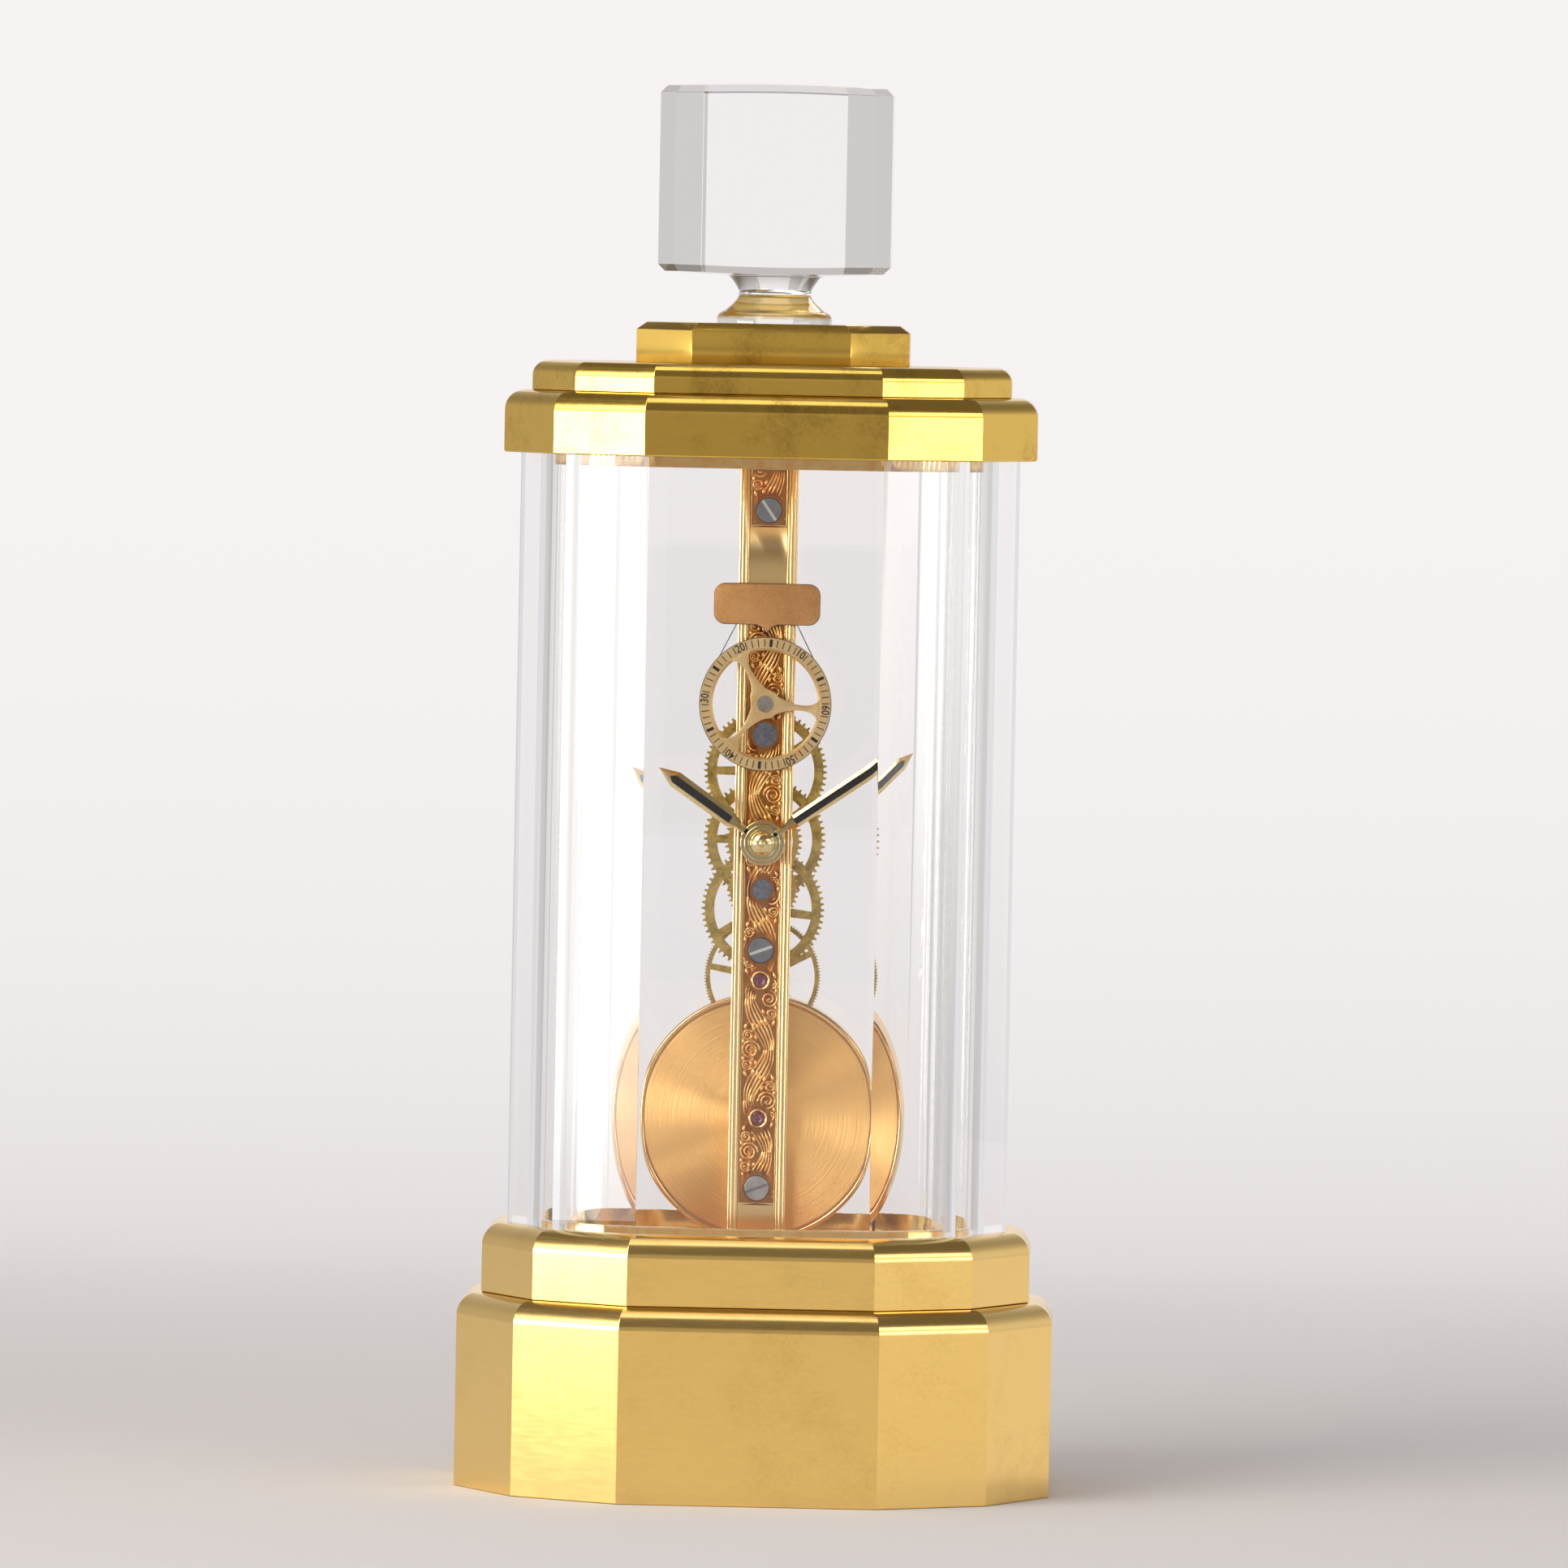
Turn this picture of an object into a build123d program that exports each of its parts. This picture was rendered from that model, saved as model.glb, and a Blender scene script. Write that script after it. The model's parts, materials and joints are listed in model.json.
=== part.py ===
from build123d import *
import math
import os

# sizes in millimetres, +Z up, the clock faces -Y
# case heights: each tier is a share of the overall height, from the table up
overall_height = 250.0
plinth_height = 0.138 * overall_height
step_top = plinth_height + 0.05 * overall_height
crystal_top = step_top + 0.5476 * overall_height
cap_lower_top = crystal_top + 0.044 * overall_height
cap_middle_top = cap_lower_top + 0.0212 * overall_height
cap_top_top = cap_middle_top + 0.0288 * overall_height
cube_low = cap_top_top + 0.0336 * overall_height

# case plan: a twelve-sided figure pulled apart along X, every tier a parallel offset of it
plan_stretch = 23.8
plinth_apothem = 41.0
step_apothem = plinth_apothem - 4.25
crystal_apothem = step_apothem - 4.35
cap_lower_apothem = crystal_apothem + 2.95
cap_middle_apothem = cap_lower_apothem - 4.75
cap_top_half_y = cap_middle_apothem - 14.0
cap_top_half_x = cap_top_half_y + plan_stretch / 2 - 4.25
cap_top_corner = 0.614 * cap_top_half_y
tier_round = 4.0
cap_lower_round = 3.4
cap_middle_round = 2.6

# oval hollow of the crystal and what fits in it
crystal_wall_x = 8.3
crystal_wall_y = 9.4
hollow_half_x = crystal_apothem + plan_stretch / 2 - crystal_wall_x
hollow_half_y = crystal_apothem - crystal_wall_y
hollow_corner = 17.5
hollow_crown = 2.2
spigot_clearance = 0.3
pocket_clearance = 0.1
floor_underside = step_top - 6.5
floor_top = floor_underside + 3.0
rim_top = step_top + 0.8
rim_wall = 1.5
spigot_drop = 2.0
spigot_seat = 3.0

# hollow base and what it holds
plinth_wall = 4.6
plinth_ceiling = plinth_height - 4.5
cover_low = 0.8
cover_high = 3.3
cover_clearance = 0.2
boss_x = plinth_apothem + plan_stretch / 2 - 16.9
boss_y = plinth_apothem - 21.0
boss_radius = 4.0
hatch_radius = plinth_apothem - 10.0
hatch_clearance = 0.3
hatch_turn = 30.0
lug_reach = 2.4
battery_radius = 7.25
battery_length = 50.5
battery_clearance = 0.15
battery_centre_z = 14.25
pocket_half_x = battery_length / 2 + 2.35
holder_wall = 2.4
holder_low = 8.0
board_top = 14.6
board_thickness = 1.6
board_left = pocket_half_x + holder_wall + 3.0
switch_low = 9.2
button_x = plinth_apothem + plan_stretch / 2 - 12.9
button_radius = 2.5
button_clearance = 0.1
button_travel = 1.0
wire_radius = 0.5
wire_hole_x = 8.0
wire_hole_y = 12.0
wire_hole_radius = 2.4
wire_offset = 0.8

# screws
screw_clearance = 0.05
case_screw_radius = 1.5
case_head_radius = 2.7
case_head_height = 1.8
front_head_radius = 2.25
front_head_height = 1.3
front_shank_radius = 1.1
slot_width = 0.55
slot_depth = 0.5

# drum that holds the motor, clear of the second arbor above its middle
arbor_pitch = 0.0897 * (crystal_top - step_top)
drum_radius = 2 * arbor_pitch - 2.56
drum_wall = 1.1
drum_floor = 1.2
drum_gap = 0.9
face_radius = drum_radius - drum_wall
face_clearance = 0.05
ledge_radius = face_radius - 1.3
stator_half_x = 0.59 * drum_radius
coil_rise = 0.545 * drum_radius
magnet_radius = 2.5

# movement: arbors stand in one upright line at even pitch
rotor_z = floor_top + drum_gap + drum_radius
inter_z = rotor_z + arbor_pitch
first_z = inter_z + arbor_pitch
second_z = first_z + arbor_pitch
centre_z = second_z + arbor_pitch
third_z = centre_z + arbor_pitch
seconds_z = third_z + arbor_pitch
motion_pitch = 8.43
stud_z = centre_z - motion_pitch

# layers, front to back
bridge_front = -7.5
bridge_back = -5.0
motion_1 = (-3.9, -2.9)
motion_2 = (-2.2, -1.2)
cock_layer = (-0.8, 0.2)
layer_1 = (0.5, 1.4)
layer_2 = (2.7, 3.6)
layer_3 = (4.9, 5.8)
pinion_over = 0.15
rear_front = 7.0
rear_back = 9.0
drum_front = bridge_back
drum_back = 2.0
face_layer = (drum_front + 0.1, drum_front + 1.1)
stator_layer = (-2.1, -1.3)

# teeth, as shares of the module and of one pitch
wheel_addendum = 0.8
wheel_dedendum = 1.0
wheel_tip = 0.2
wheel_root = 0.56
pinion_addendum = 0.6
pinion_dedendum = 1.05
pinion_tip = 0.18
pinion_root = 0.52
second_teeth = 64
third_teeth = 64
centre_teeth = 60
train_pinion = 8
first_teeth = 120
inter_pinion_teeth = 20
inter_teeth = 50
rotor_teeth = 10
cannon_teeth = 14
minute_wheel_teeth = 42
minute_pinion_teeth = 10
hour_wheel_teeth = 40

# arbors and bearings
arbor_radius = 0.6
pivot_radius = 0.35
pivot_clearance = 0.03
pivot_hole = pivot_radius + pivot_clearance
shoulder_gap = 0.05
seat_clearance = 0.01
jewel_radius = 1.4
jewel_height = 1.2
collar_radius = 1.5
collar_height = 0.4
running_clearance = 0.05
centre_radius = 0.75
cannon_radius = 1.5
hour_tube_radius = 2.5
seconds_seat_radius = 1.45
seconds_neck_radius = 0.9

# bridge, index plate, ring and hands
bridge_half = 5.2
bridge_top = crystal_top - spigot_drop
band_half = 3.4
band_depth = 0.4
rear_half = 4.5
top_screw_z = bridge_top - 7.5
head_low = bridge_top - 13.9
head_screws = (bridge_top - 11.5, bridge_top - 7.5)
tie_hole_low = bridge_top - 5.1
tie_y = 1.0
bracket_screws = (floor_top + 7.0, floor_top + 16.5)
bracket_half = 4.5
bracket_wall = 2.0
bracket_reach = hollow_half_y - spigot_clearance - rim_wall - 0.6
small_head_radius = 1.9
small_head_height = 1.2
low_screw_z = rotor_z - 12.4
cock_screw_z = first_z + 5.34
cock_stud_z = third_z + 6.8
cock_stud_radius = 2.2
cock_pin_radius = 1.2
minute_stud_radius = 1.8
minute_pin_radius = 0.8
stud_head_height = 1.0
dowel_radius = 0.9
dowel_half_x = 3.0
plate_post_x = 2.0
plate_z = seconds_z + 17.72
panel_low = plate_z + 2.8
panel_high = bridge_top - 10.5
band_low = floor_top + 7.5
plate_half_x = 9.5
plate_half_z = 3.6
plate_corner = 2.0
plate_layer = (-8.9, -8.1)
ring_outer = 11.9
ring_inner = 9.5
ring_hub = 2.9
ring_layer = (-9.3, -8.5)
ring_spokes = (-5.0, 118.0, 230.0)
guard_radius = ring_outer - 0.6
guard_wire = 0.3
hour_layer = (-10.6, -9.9)
minute_layer = (-12.2, -11.5)
hour_length = 23.3
minute_length = 29.3
hour_angle = 304.7
minute_angle = 55.7
hand_bevel = 0.3
hour_collar = 3.75
minute_collar = 3.0
cap_radius = 2.5


os.makedirs("parts", exist_ok=True)


def save(builder, name):
    builder.part.label = name
    export_step(builder.part, "parts/" + name + ".step")


def plan_points(apothem, stretch_x, stretch_y=0.0):
    points = []
    for k in range(12):
        angle = math.radians(15 + 30 * k)
        x = apothem / math.cos(math.radians(15)) * math.cos(angle)
        y = apothem / math.cos(math.radians(15)) * math.sin(angle)
        points.append((x + math.copysign(stretch_x / 2, x), y + math.copysign(stretch_y / 2, y)))
    return points


def prism(points, z_low, z_high, mode=Mode.ADD):
    with BuildSketch(Plane.XY.offset(z_low)) as outline:
        with BuildLine():
            Polyline(*points, close=True)
        make_face()
    extrude(outline.sketch, amount=z_high - z_low, mode=mode)


def oval(inset, z_low, z_high, mode=Mode.ADD):
    half_x = hollow_half_x - inset
    half_y = hollow_half_y - inset
    side_y = half_y - hollow_crown
    with BuildSketch(Plane.XY.offset(z_low)) as outline:
        with BuildLine():
            ThreePointArc((-half_x, -side_y), (0, -half_y), (half_x, -side_y))
            Line((half_x, -side_y), (half_x, side_y))
            ThreePointArc((half_x, side_y), (0, half_y), (-half_x, side_y))
            Line((-half_x, side_y), (-half_x, -side_y))
        make_face()
        fillet(outline.vertices(), radius=hollow_corner - inset)
    extrude(outline.sketch, amount=z_high - z_low, mode=mode)


def upright(x, y, radius, z_low, z_high, mode=Mode.ADD):
    with BuildSketch(Plane.XY.offset(z_low)) as outline:
        with Locations((x, y)):
            Circle(radius)
    extrude(outline.sketch, amount=z_high - z_low, mode=mode)


def block(x_low, x_high, y_low, y_high, z_low, z_high, mode=Mode.ADD):
    with BuildSketch(Plane.XY.offset(z_low)) as outline:
        with Locations(((x_low + x_high) / 2, (y_low + y_high) / 2)):
            Rectangle(x_high - x_low, y_high - y_low)
    extrude(outline.sketch, amount=z_high - z_low, mode=mode)


def facing(y_back):
    return Plane(origin=(0, y_back, 0), x_dir=(1, 0, 0), z_dir=(0, -1, 0))


def disc(z, radius, y_front, y_back, mode=Mode.ADD, x=0.0):
    with BuildSketch(facing(y_back)) as outline:
        with Locations((x, z)):
            Circle(radius)
    extrude(outline.sketch, amount=y_back - y_front, mode=mode)


def sheet(points, y_front, y_back, mode=Mode.ADD):
    with BuildSketch(facing(y_back)) as outline:
        with BuildLine():
            Polyline(*points, close=True)
        make_face()
    extrude(outline.sketch, amount=y_back - y_front, mode=mode)


def stadium(z_low, z_high, radius, y_front, y_back, mode=Mode.ADD):
    with BuildSketch(facing(y_back)) as outline:
        with Locations((0, z_low), (0, z_high)):
            Circle(radius)
        with Locations((0, (z_low + z_high) / 2)):
            Rectangle(2 * radius, z_high - z_low)
    extrude(outline.sketch, amount=y_back - y_front, mode=mode)


def slot(z, angle, y_front, y_back, reach=front_head_radius):
    with BuildSketch(facing(y_back)) as outline:
        with Locations(Location((0, z, 0), angle)):
            Rectangle(2 * reach + 0.4, slot_width)
    extrude(outline.sketch, amount=y_back - y_front, mode=Mode.SUBTRACT)


def tooth_points(count, pitch_radius, module, addendum, dedendum, tip, root, phase, z):
    step = 2 * math.pi / count
    outer = pitch_radius + addendum * module
    inner = pitch_radius - dedendum * module
    points = []
    for k in range(count):
        middle = math.pi / 2 + (phase + k) * step
        for radius, share in ((inner, -root), (outer, -tip), (outer, tip), (inner, root)):
            angle = middle + share / 2 * step
            points.append((radius * math.cos(angle), z + radius * math.sin(angle)))
    return points


def wheel_teeth(count, module, z, y_front, y_back):
    shape = (wheel_addendum, wheel_dedendum, wheel_tip, wheel_root)
    sheet(tooth_points(count, module * count / 2, module, *shape, 0.0, z), y_front, y_back)


def pinion_teeth(count, module, z, y_front, y_back):
    shape = (pinion_addendum, pinion_dedendum, pinion_tip, pinion_root)
    points = tooth_points(count, module * count / 2, module, *shape, 0.5, z)
    sheet(points, y_front - pinion_over, y_back + pinion_over)


def module_of(distance, wheel_count, pinion_count):
    return 2 * distance / (wheel_count + pinion_count)


def spoke_windows(z, rim_inner, hub_outer, spoke_near, spoke_far, first_angle, y_front, y_back, spokes=5):
    step = 360.0 / spokes
    for k in range(spokes):
        with BuildSketch(facing(y_back)) as gap:
            with Locations((0, z)):
                Circle(rim_inner)
                Circle(hub_outer, mode=Mode.SUBTRACT)
            for edge in (0, 1):
                angle = first_angle + (k + edge) * step
                along = (math.cos(math.radians(angle)), math.sin(math.radians(angle)))
                across = (-along[1], along[0])
                corners = []
                for reach, half in ((0, spoke_near), (rim_inner + 2, spoke_far)):
                    corners.append((reach, half))
                    corners.append((reach, -half))
                order = (corners[0], corners[1], corners[3], corners[2])
                spoke = []
                for r, h in order:
                    spoke.append((r * along[0] + h * across[0], z + r * along[1] + h * across[1]))
                with BuildLine():
                    Polyline(*spoke, close=True)
                make_face(mode=Mode.SUBTRACT)
            middle = math.radians(first_angle + (k + 0.5) * step)
            far = 3 * rim_inner
            wedge = [(0, z)]
            for turn in (-0.5, -0.25, 0, 0.25, 0.5):
                angle = middle + turn * math.radians(step)
                wedge.append((far * math.cos(angle), z + far * math.sin(angle)))
            with BuildLine():
                Polyline(*wedge, close=True)
            make_face(mode=Mode.INTERSECT)
        extrude(gap.sketch, amount=y_back - y_front, mode=Mode.SUBTRACT)


def arbor(z, y_front, y_back, radius=arbor_radius):
    disc(z, radius, y_front, y_back)


def rear_pivot(z):
    disc(z, pivot_radius, rear_front - shoulder_gap, rear_front + jewel_height - shoulder_gap)


def turned(points, angle, z):
    turn = math.radians(angle)
    out = []
    for x, up in points:
        out.append((x * math.cos(turn) + up * math.sin(turn), z - x * math.sin(turn) + up * math.cos(turn)))
    return out


def case_screw(x, y, head_low, shank_end, upwards):
    if upwards:
        upright(x, y, case_head_radius, head_low, head_low + case_head_height)
        upright(x, y, case_screw_radius, head_low + case_head_height, shank_end)
    else:
        upright(x, y, case_screw_radius, shank_end, head_low)
        upright(x, y, case_head_radius, head_low, head_low + case_head_height)


def four_corners(x, y):
    return [(sx * x, sy * y) for sx in (-1, 1) for sy in (-1, 1)]


base_screw_places = four_corners(hollow_half_x - 16.0, hollow_half_y - 6.0)
cover_screw_places = four_corners(boss_x, boss_y)
cap_screw_places = four_corners(hollow_half_x - 12.0, hollow_half_y - 11.0)
cap_bolt_places = [(side * (cap_top_half_x - 10.25), 0.0) for side in (-1, 1)]
case_hole = case_screw_radius + screw_clearance
head_hole = case_head_radius + 0.2
board_post_places = [(button_x - 0.5, -10.5), (button_x - 0.5, 10.5)]
bracket_screw_x = bracket_half - small_head_radius - 0.3
bracket_screw_y = (rear_back + bracket_wall + bracket_reach) / 2
bracket_screw_places = [(side * bracket_screw_x, bracket_screw_y) for side in (-1, 1)]

# base
with BuildPart() as base_plinth:
    prism(plan_points(plinth_apothem, plan_stretch), 0, plinth_height)
    fillet(base_plinth.edges().group_by(Axis.Z)[-1], radius=tier_round)
    prism(plan_points(plinth_apothem - plinth_wall, plan_stretch), 0, plinth_ceiling, Mode.SUBTRACT)
    for px, py in cover_screw_places:
        upright(px, py, boss_radius, cover_high, plinth_ceiling)
        upright(px, py, case_hole, cover_high, cover_high + 12.0, Mode.SUBTRACT)
    for px, py in board_post_places:
        upright(px, py, 2.0, board_top, plinth_ceiling)
    for px, py in base_screw_places:
        upright(px, py, case_hole, plinth_ceiling, plinth_height, Mode.SUBTRACT)
    upright(wire_hole_x, wire_hole_y, wire_hole_radius, plinth_ceiling, plinth_height, Mode.SUBTRACT)
save(base_plinth, "base_plinth")

with BuildPart() as base_step:
    prism(plan_points(step_apothem, plan_stretch), plinth_height, step_top)
    fillet(base_step.edges().group_by(Axis.Z)[-1], radius=tier_round)
    oval(spigot_clearance - pocket_clearance, floor_underside, step_top, Mode.SUBTRACT)
    for px, py in base_screw_places:
        upright(px, py, case_hole, plinth_height, floor_underside, Mode.SUBTRACT)
    upright(wire_hole_x, wire_hole_y, wire_hole_radius, plinth_height, floor_underside, Mode.SUBTRACT)
save(base_step, "base_step")

with BuildPart() as base_floor:
    oval(spigot_clearance, floor_underside, rim_top)
    oval(spigot_clearance + rim_wall, floor_top, rim_top, Mode.SUBTRACT)
    for px, py in base_screw_places:
        upright(px, py, case_hole, floor_underside, floor_top - 0.3, Mode.SUBTRACT)
    upright(wire_hole_x, wire_hole_y, wire_hole_radius, floor_underside, floor_top, Mode.SUBTRACT)
    for px, py in bracket_screw_places:
        upright(px, py, front_shank_radius + screw_clearance, floor_underside + 0.4, floor_top, Mode.SUBTRACT)
save(base_floor, "base_floor")

with BuildPart() as base_screws:
    for px, py in base_screw_places:
        case_screw(px, py, plinth_ceiling - case_head_height, floor_top - 0.4, True)
save(base_screws, "base_screws")

with BuildPart() as base_cover:
    prism(plan_points(plinth_apothem - plinth_wall - cover_clearance, plan_stretch), cover_low, cover_high)
    upright(0, 0, hatch_radius, cover_low, cover_high, Mode.SUBTRACT)
    for side in (0, 180):
        angle = math.radians(side + hatch_turn)
        mid_x = (hatch_radius + 1.0) * math.cos(angle)
        mid_y = (hatch_radius + 1.0) * math.sin(angle)
        upright(mid_x, mid_y, 4.4, cover_low, cover_high, Mode.SUBTRACT)
    for px, py in cover_screw_places:
        upright(px, py, case_hole, cover_low, cover_high, Mode.SUBTRACT)
        upright(px, py, case_head_radius + 0.3, cover_low, cover_low + case_head_height - 0.4, Mode.SUBTRACT)
    upright(button_x, 0, button_radius + button_clearance, cover_low, cover_high, Mode.SUBTRACT)
save(base_cover, "base_cover")

with BuildPart() as cover_screws:
    for px, py in cover_screw_places:
        head = cover_low + case_head_height - 0.4
        upright(px, py, case_head_radius, head - 1.3, head)
        upright(px, py, case_screw_radius, head, cover_high + 10.0)
save(cover_screws, "cover_screws")

with BuildPart() as battery_hatch:
    upright(0, 0, hatch_radius - hatch_clearance, cover_low, cover_high)
    upright(0, 0, hatch_radius - 4.0, cover_high, cover_high + 0.1)
    for side in (-1, 1):
        lug_in = hatch_radius - 8.0
        lug_out = hatch_radius + lug_reach
        block(min(side * lug_in, side * lug_out), max(side * lug_in, side * lug_out), -3.0, 3.0,
              cover_high + 0.1, cover_high + 1.6)
        block(min(side * 10, side * 14), max(side * 10, side * 14), -6.0, 6.0, cover_high + 0.1, 6.8)
    block(-9.0, 9.0, -1.0, 1.0, cover_low, cover_low + 1.2, Mode.SUBTRACT)
save(battery_hatch, "battery_hatch")

with BuildPart() as battery:
    with BuildSketch(Plane.YZ.offset(-battery_length / 2)) as cell:
        with Locations((0, battery_centre_z)):
            Circle(battery_radius)
    extrude(cell.sketch, amount=battery_length - 1.0)
    with BuildSketch(Plane.YZ.offset(battery_length / 2 - 1.0)) as nub:
        with Locations((0, battery_centre_z)):
            Circle(2.7)
    extrude(nub.sketch, amount=1.0)
save(battery, "battery")

pocket_half_y = battery_radius + battery_clearance
pocket_top = battery_centre_z + battery_radius + 0.1
holder_half_x = pocket_half_x + holder_wall
holder_half_y = pocket_half_y + 2.2
with BuildPart() as battery_holder:
    block(-holder_half_x, holder_half_x, -holder_half_y, holder_half_y, holder_low, plinth_ceiling)
    block(-pocket_half_x, pocket_half_x, -pocket_half_y, pocket_half_y, holder_low, pocket_top, Mode.SUBTRACT)
    roof_top = pocket_top + holder_wall
    block(-pocket_half_x, pocket_half_x, -holder_half_y, holder_half_y, roof_top, plinth_ceiling, Mode.SUBTRACT)
save(battery_holder, "battery_holder")

with BuildPart() as battery_contacts:
    for side in (-1, 1):
        leaf = sorted((side * (pocket_half_x - 0.5), side * pocket_half_x))
        block(*leaf, -5.0, 5.0, holder_low + 0.5, pocket_top - 0.6)
    with BuildSketch(Plane.YZ.offset(battery_length / 2)) as bump:
        with Locations((0, battery_centre_z)):
            Circle(2.4)
    extrude(bump.sketch, amount=pocket_half_x - 0.5 - battery_length / 2)
    with BuildSketch(Plane.YZ.offset(-pocket_half_x + 0.5)) as coil_end:
        with Locations((0, battery_centre_z)):
            Circle(4.0)
            Circle(2.8, mode=Mode.SUBTRACT)
    extrude(coil_end.sketch, amount=pocket_half_x - 0.5 - battery_length / 2)
save(battery_contacts, "battery_contacts")

board_low = board_top - board_thickness
board_right = button_x + 6.0
with BuildPart() as circuit_board:
    block(board_left, board_right, -13.5, 13.5, board_low, board_top)
    block(button_x - 3.0, button_x + 3.0, -3.0, 3.0, switch_low, board_low)
    block(board_left + 2.0, board_left + 6.0, 4.5, 8.0, board_top, board_top + 1.4)
    block(board_left + 2.0, board_right - 2.0, -7.5, -3.5, board_top, board_top + 2.6)
save(circuit_board, "circuit_board")

with BuildPart() as setting_button:
    upright(button_x, 0, button_radius, cover_low + 0.2, switch_low - button_travel - button_clearance)
    upright(button_x, 0, button_radius + 1.0, cover_high, cover_high + 1.2)
save(setting_button, "setting_button")

with BuildPart() as feed_wires:
    start_x = board_left + 1.5
    run_z = plinth_ceiling - 3.5
    for side in (-1, 1):
        end_z = rotor_z - 15.4 + side
        wx = wire_hole_x + side * wire_offset
        wy = wire_hole_y + side * wire_offset
        with BuildLine() as run:
            FilletPolyline(
                (start_x, wy, board_top),
                (start_x, wy, run_z),
                (wx, wy, run_z),
                (wx, wy, end_z),
                (wx, drum_back, end_z),
                radius=2.5,
            )
        with BuildSketch(Plane(origin=(start_x, wy, board_top), z_dir=(0, 0, 1))) as section:
            Circle(wire_radius)
        sweep(section.sketch, path=run.wires()[0])
save(feed_wires, "feed_wires")

# crystal and cap
with BuildPart() as crystal_body:
    prism(plan_points(crystal_apothem, plan_stretch), step_top, crystal_top)
    oval(0.0, step_top, crystal_top, Mode.SUBTRACT)
save(crystal_body, "crystal_body")

spigot_low = crystal_top - spigot_drop
spigot_high = crystal_top + spigot_seat
with BuildPart() as cap_lower:
    prism(plan_points(cap_lower_apothem, plan_stretch), crystal_top, cap_lower_top)
    fillet(cap_lower.edges().group_by(Axis.Z)[-1], radius=cap_lower_round)
    oval(spigot_clearance - pocket_clearance, crystal_top, spigot_high, Mode.SUBTRACT)
    for px, py in cap_screw_places:
        upright(px, py, case_hole, spigot_high, cap_lower_top, Mode.SUBTRACT)
        upright(px, py, head_hole, cap_lower_top - 2.0, cap_lower_top, Mode.SUBTRACT)
    for px, py in cap_bolt_places:
        upright(px, py, case_hole, spigot_high, cap_lower_top, Mode.SUBTRACT)
        upright(px, py, head_hole, spigot_high, spigot_high + 2.2, Mode.SUBTRACT)
save(cap_lower, "cap_lower")

with BuildPart() as cap_spigot:
    oval(spigot_clearance, spigot_low, spigot_high)
    for px, py in cap_screw_places:
        upright(px, py, case_hole, spigot_low + 0.8, spigot_high, Mode.SUBTRACT)
    upright(0, tie_y, case_hole, spigot_low, spigot_high, Mode.SUBTRACT)
    upright(0, tie_y, head_hole, spigot_high - 2.2, spigot_high, Mode.SUBTRACT)
save(cap_spigot, "cap_spigot")

with BuildPart() as cap_middle:
    prism(plan_points(cap_middle_apothem, plan_stretch), cap_lower_top, cap_middle_top)
    fillet(cap_middle.edges().group_by(Axis.Z)[-1], radius=cap_middle_round)
    for px, py in cap_bolt_places:
        upright(px, py, case_hole, cap_lower_top, cap_middle_top, Mode.SUBTRACT)
save(cap_middle, "cap_middle")

finial_seat = 1.0
finial_foot_radius = 0.6175 * cap_top_half_y
with BuildPart() as cap_top:
    with BuildSketch(Plane.XY.offset(cap_middle_top)) as eight_sided:
        Rectangle(2 * cap_top_half_x, 2 * cap_top_half_y)
        chamfer(eight_sided.vertices(), length=cap_top_corner)
    extrude(eight_sided.sketch, amount=cap_top_top - cap_middle_top)
    chamfer(cap_top.edges().group_by(Axis.Z)[-1], length=1.3, length2=1.8)
    seat_radius = finial_foot_radius + pocket_clearance
    upright(0, 0, seat_radius, cap_top_top - finial_seat, cap_top_top, Mode.SUBTRACT)
    for px, py in cap_bolt_places:
        upright(px, py, case_hole, cap_middle_top, cap_middle_top + 4.4, Mode.SUBTRACT)
save(cap_top, "cap_top")

with BuildPart() as cap_screws:
    for px, py in cap_screw_places:
        case_screw(px, py, cap_lower_top - 2.0, spigot_low + 1.0, False)
    for px, py in cap_bolt_places:
        case_screw(px, py, spigot_high + 2.2 - case_head_height, cap_middle_top + 4.0, True)
    case_screw(0, tie_y, spigot_high - 2.2, tie_hole_low + 0.2, False)
save(cap_screws, "cap_screws")

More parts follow.
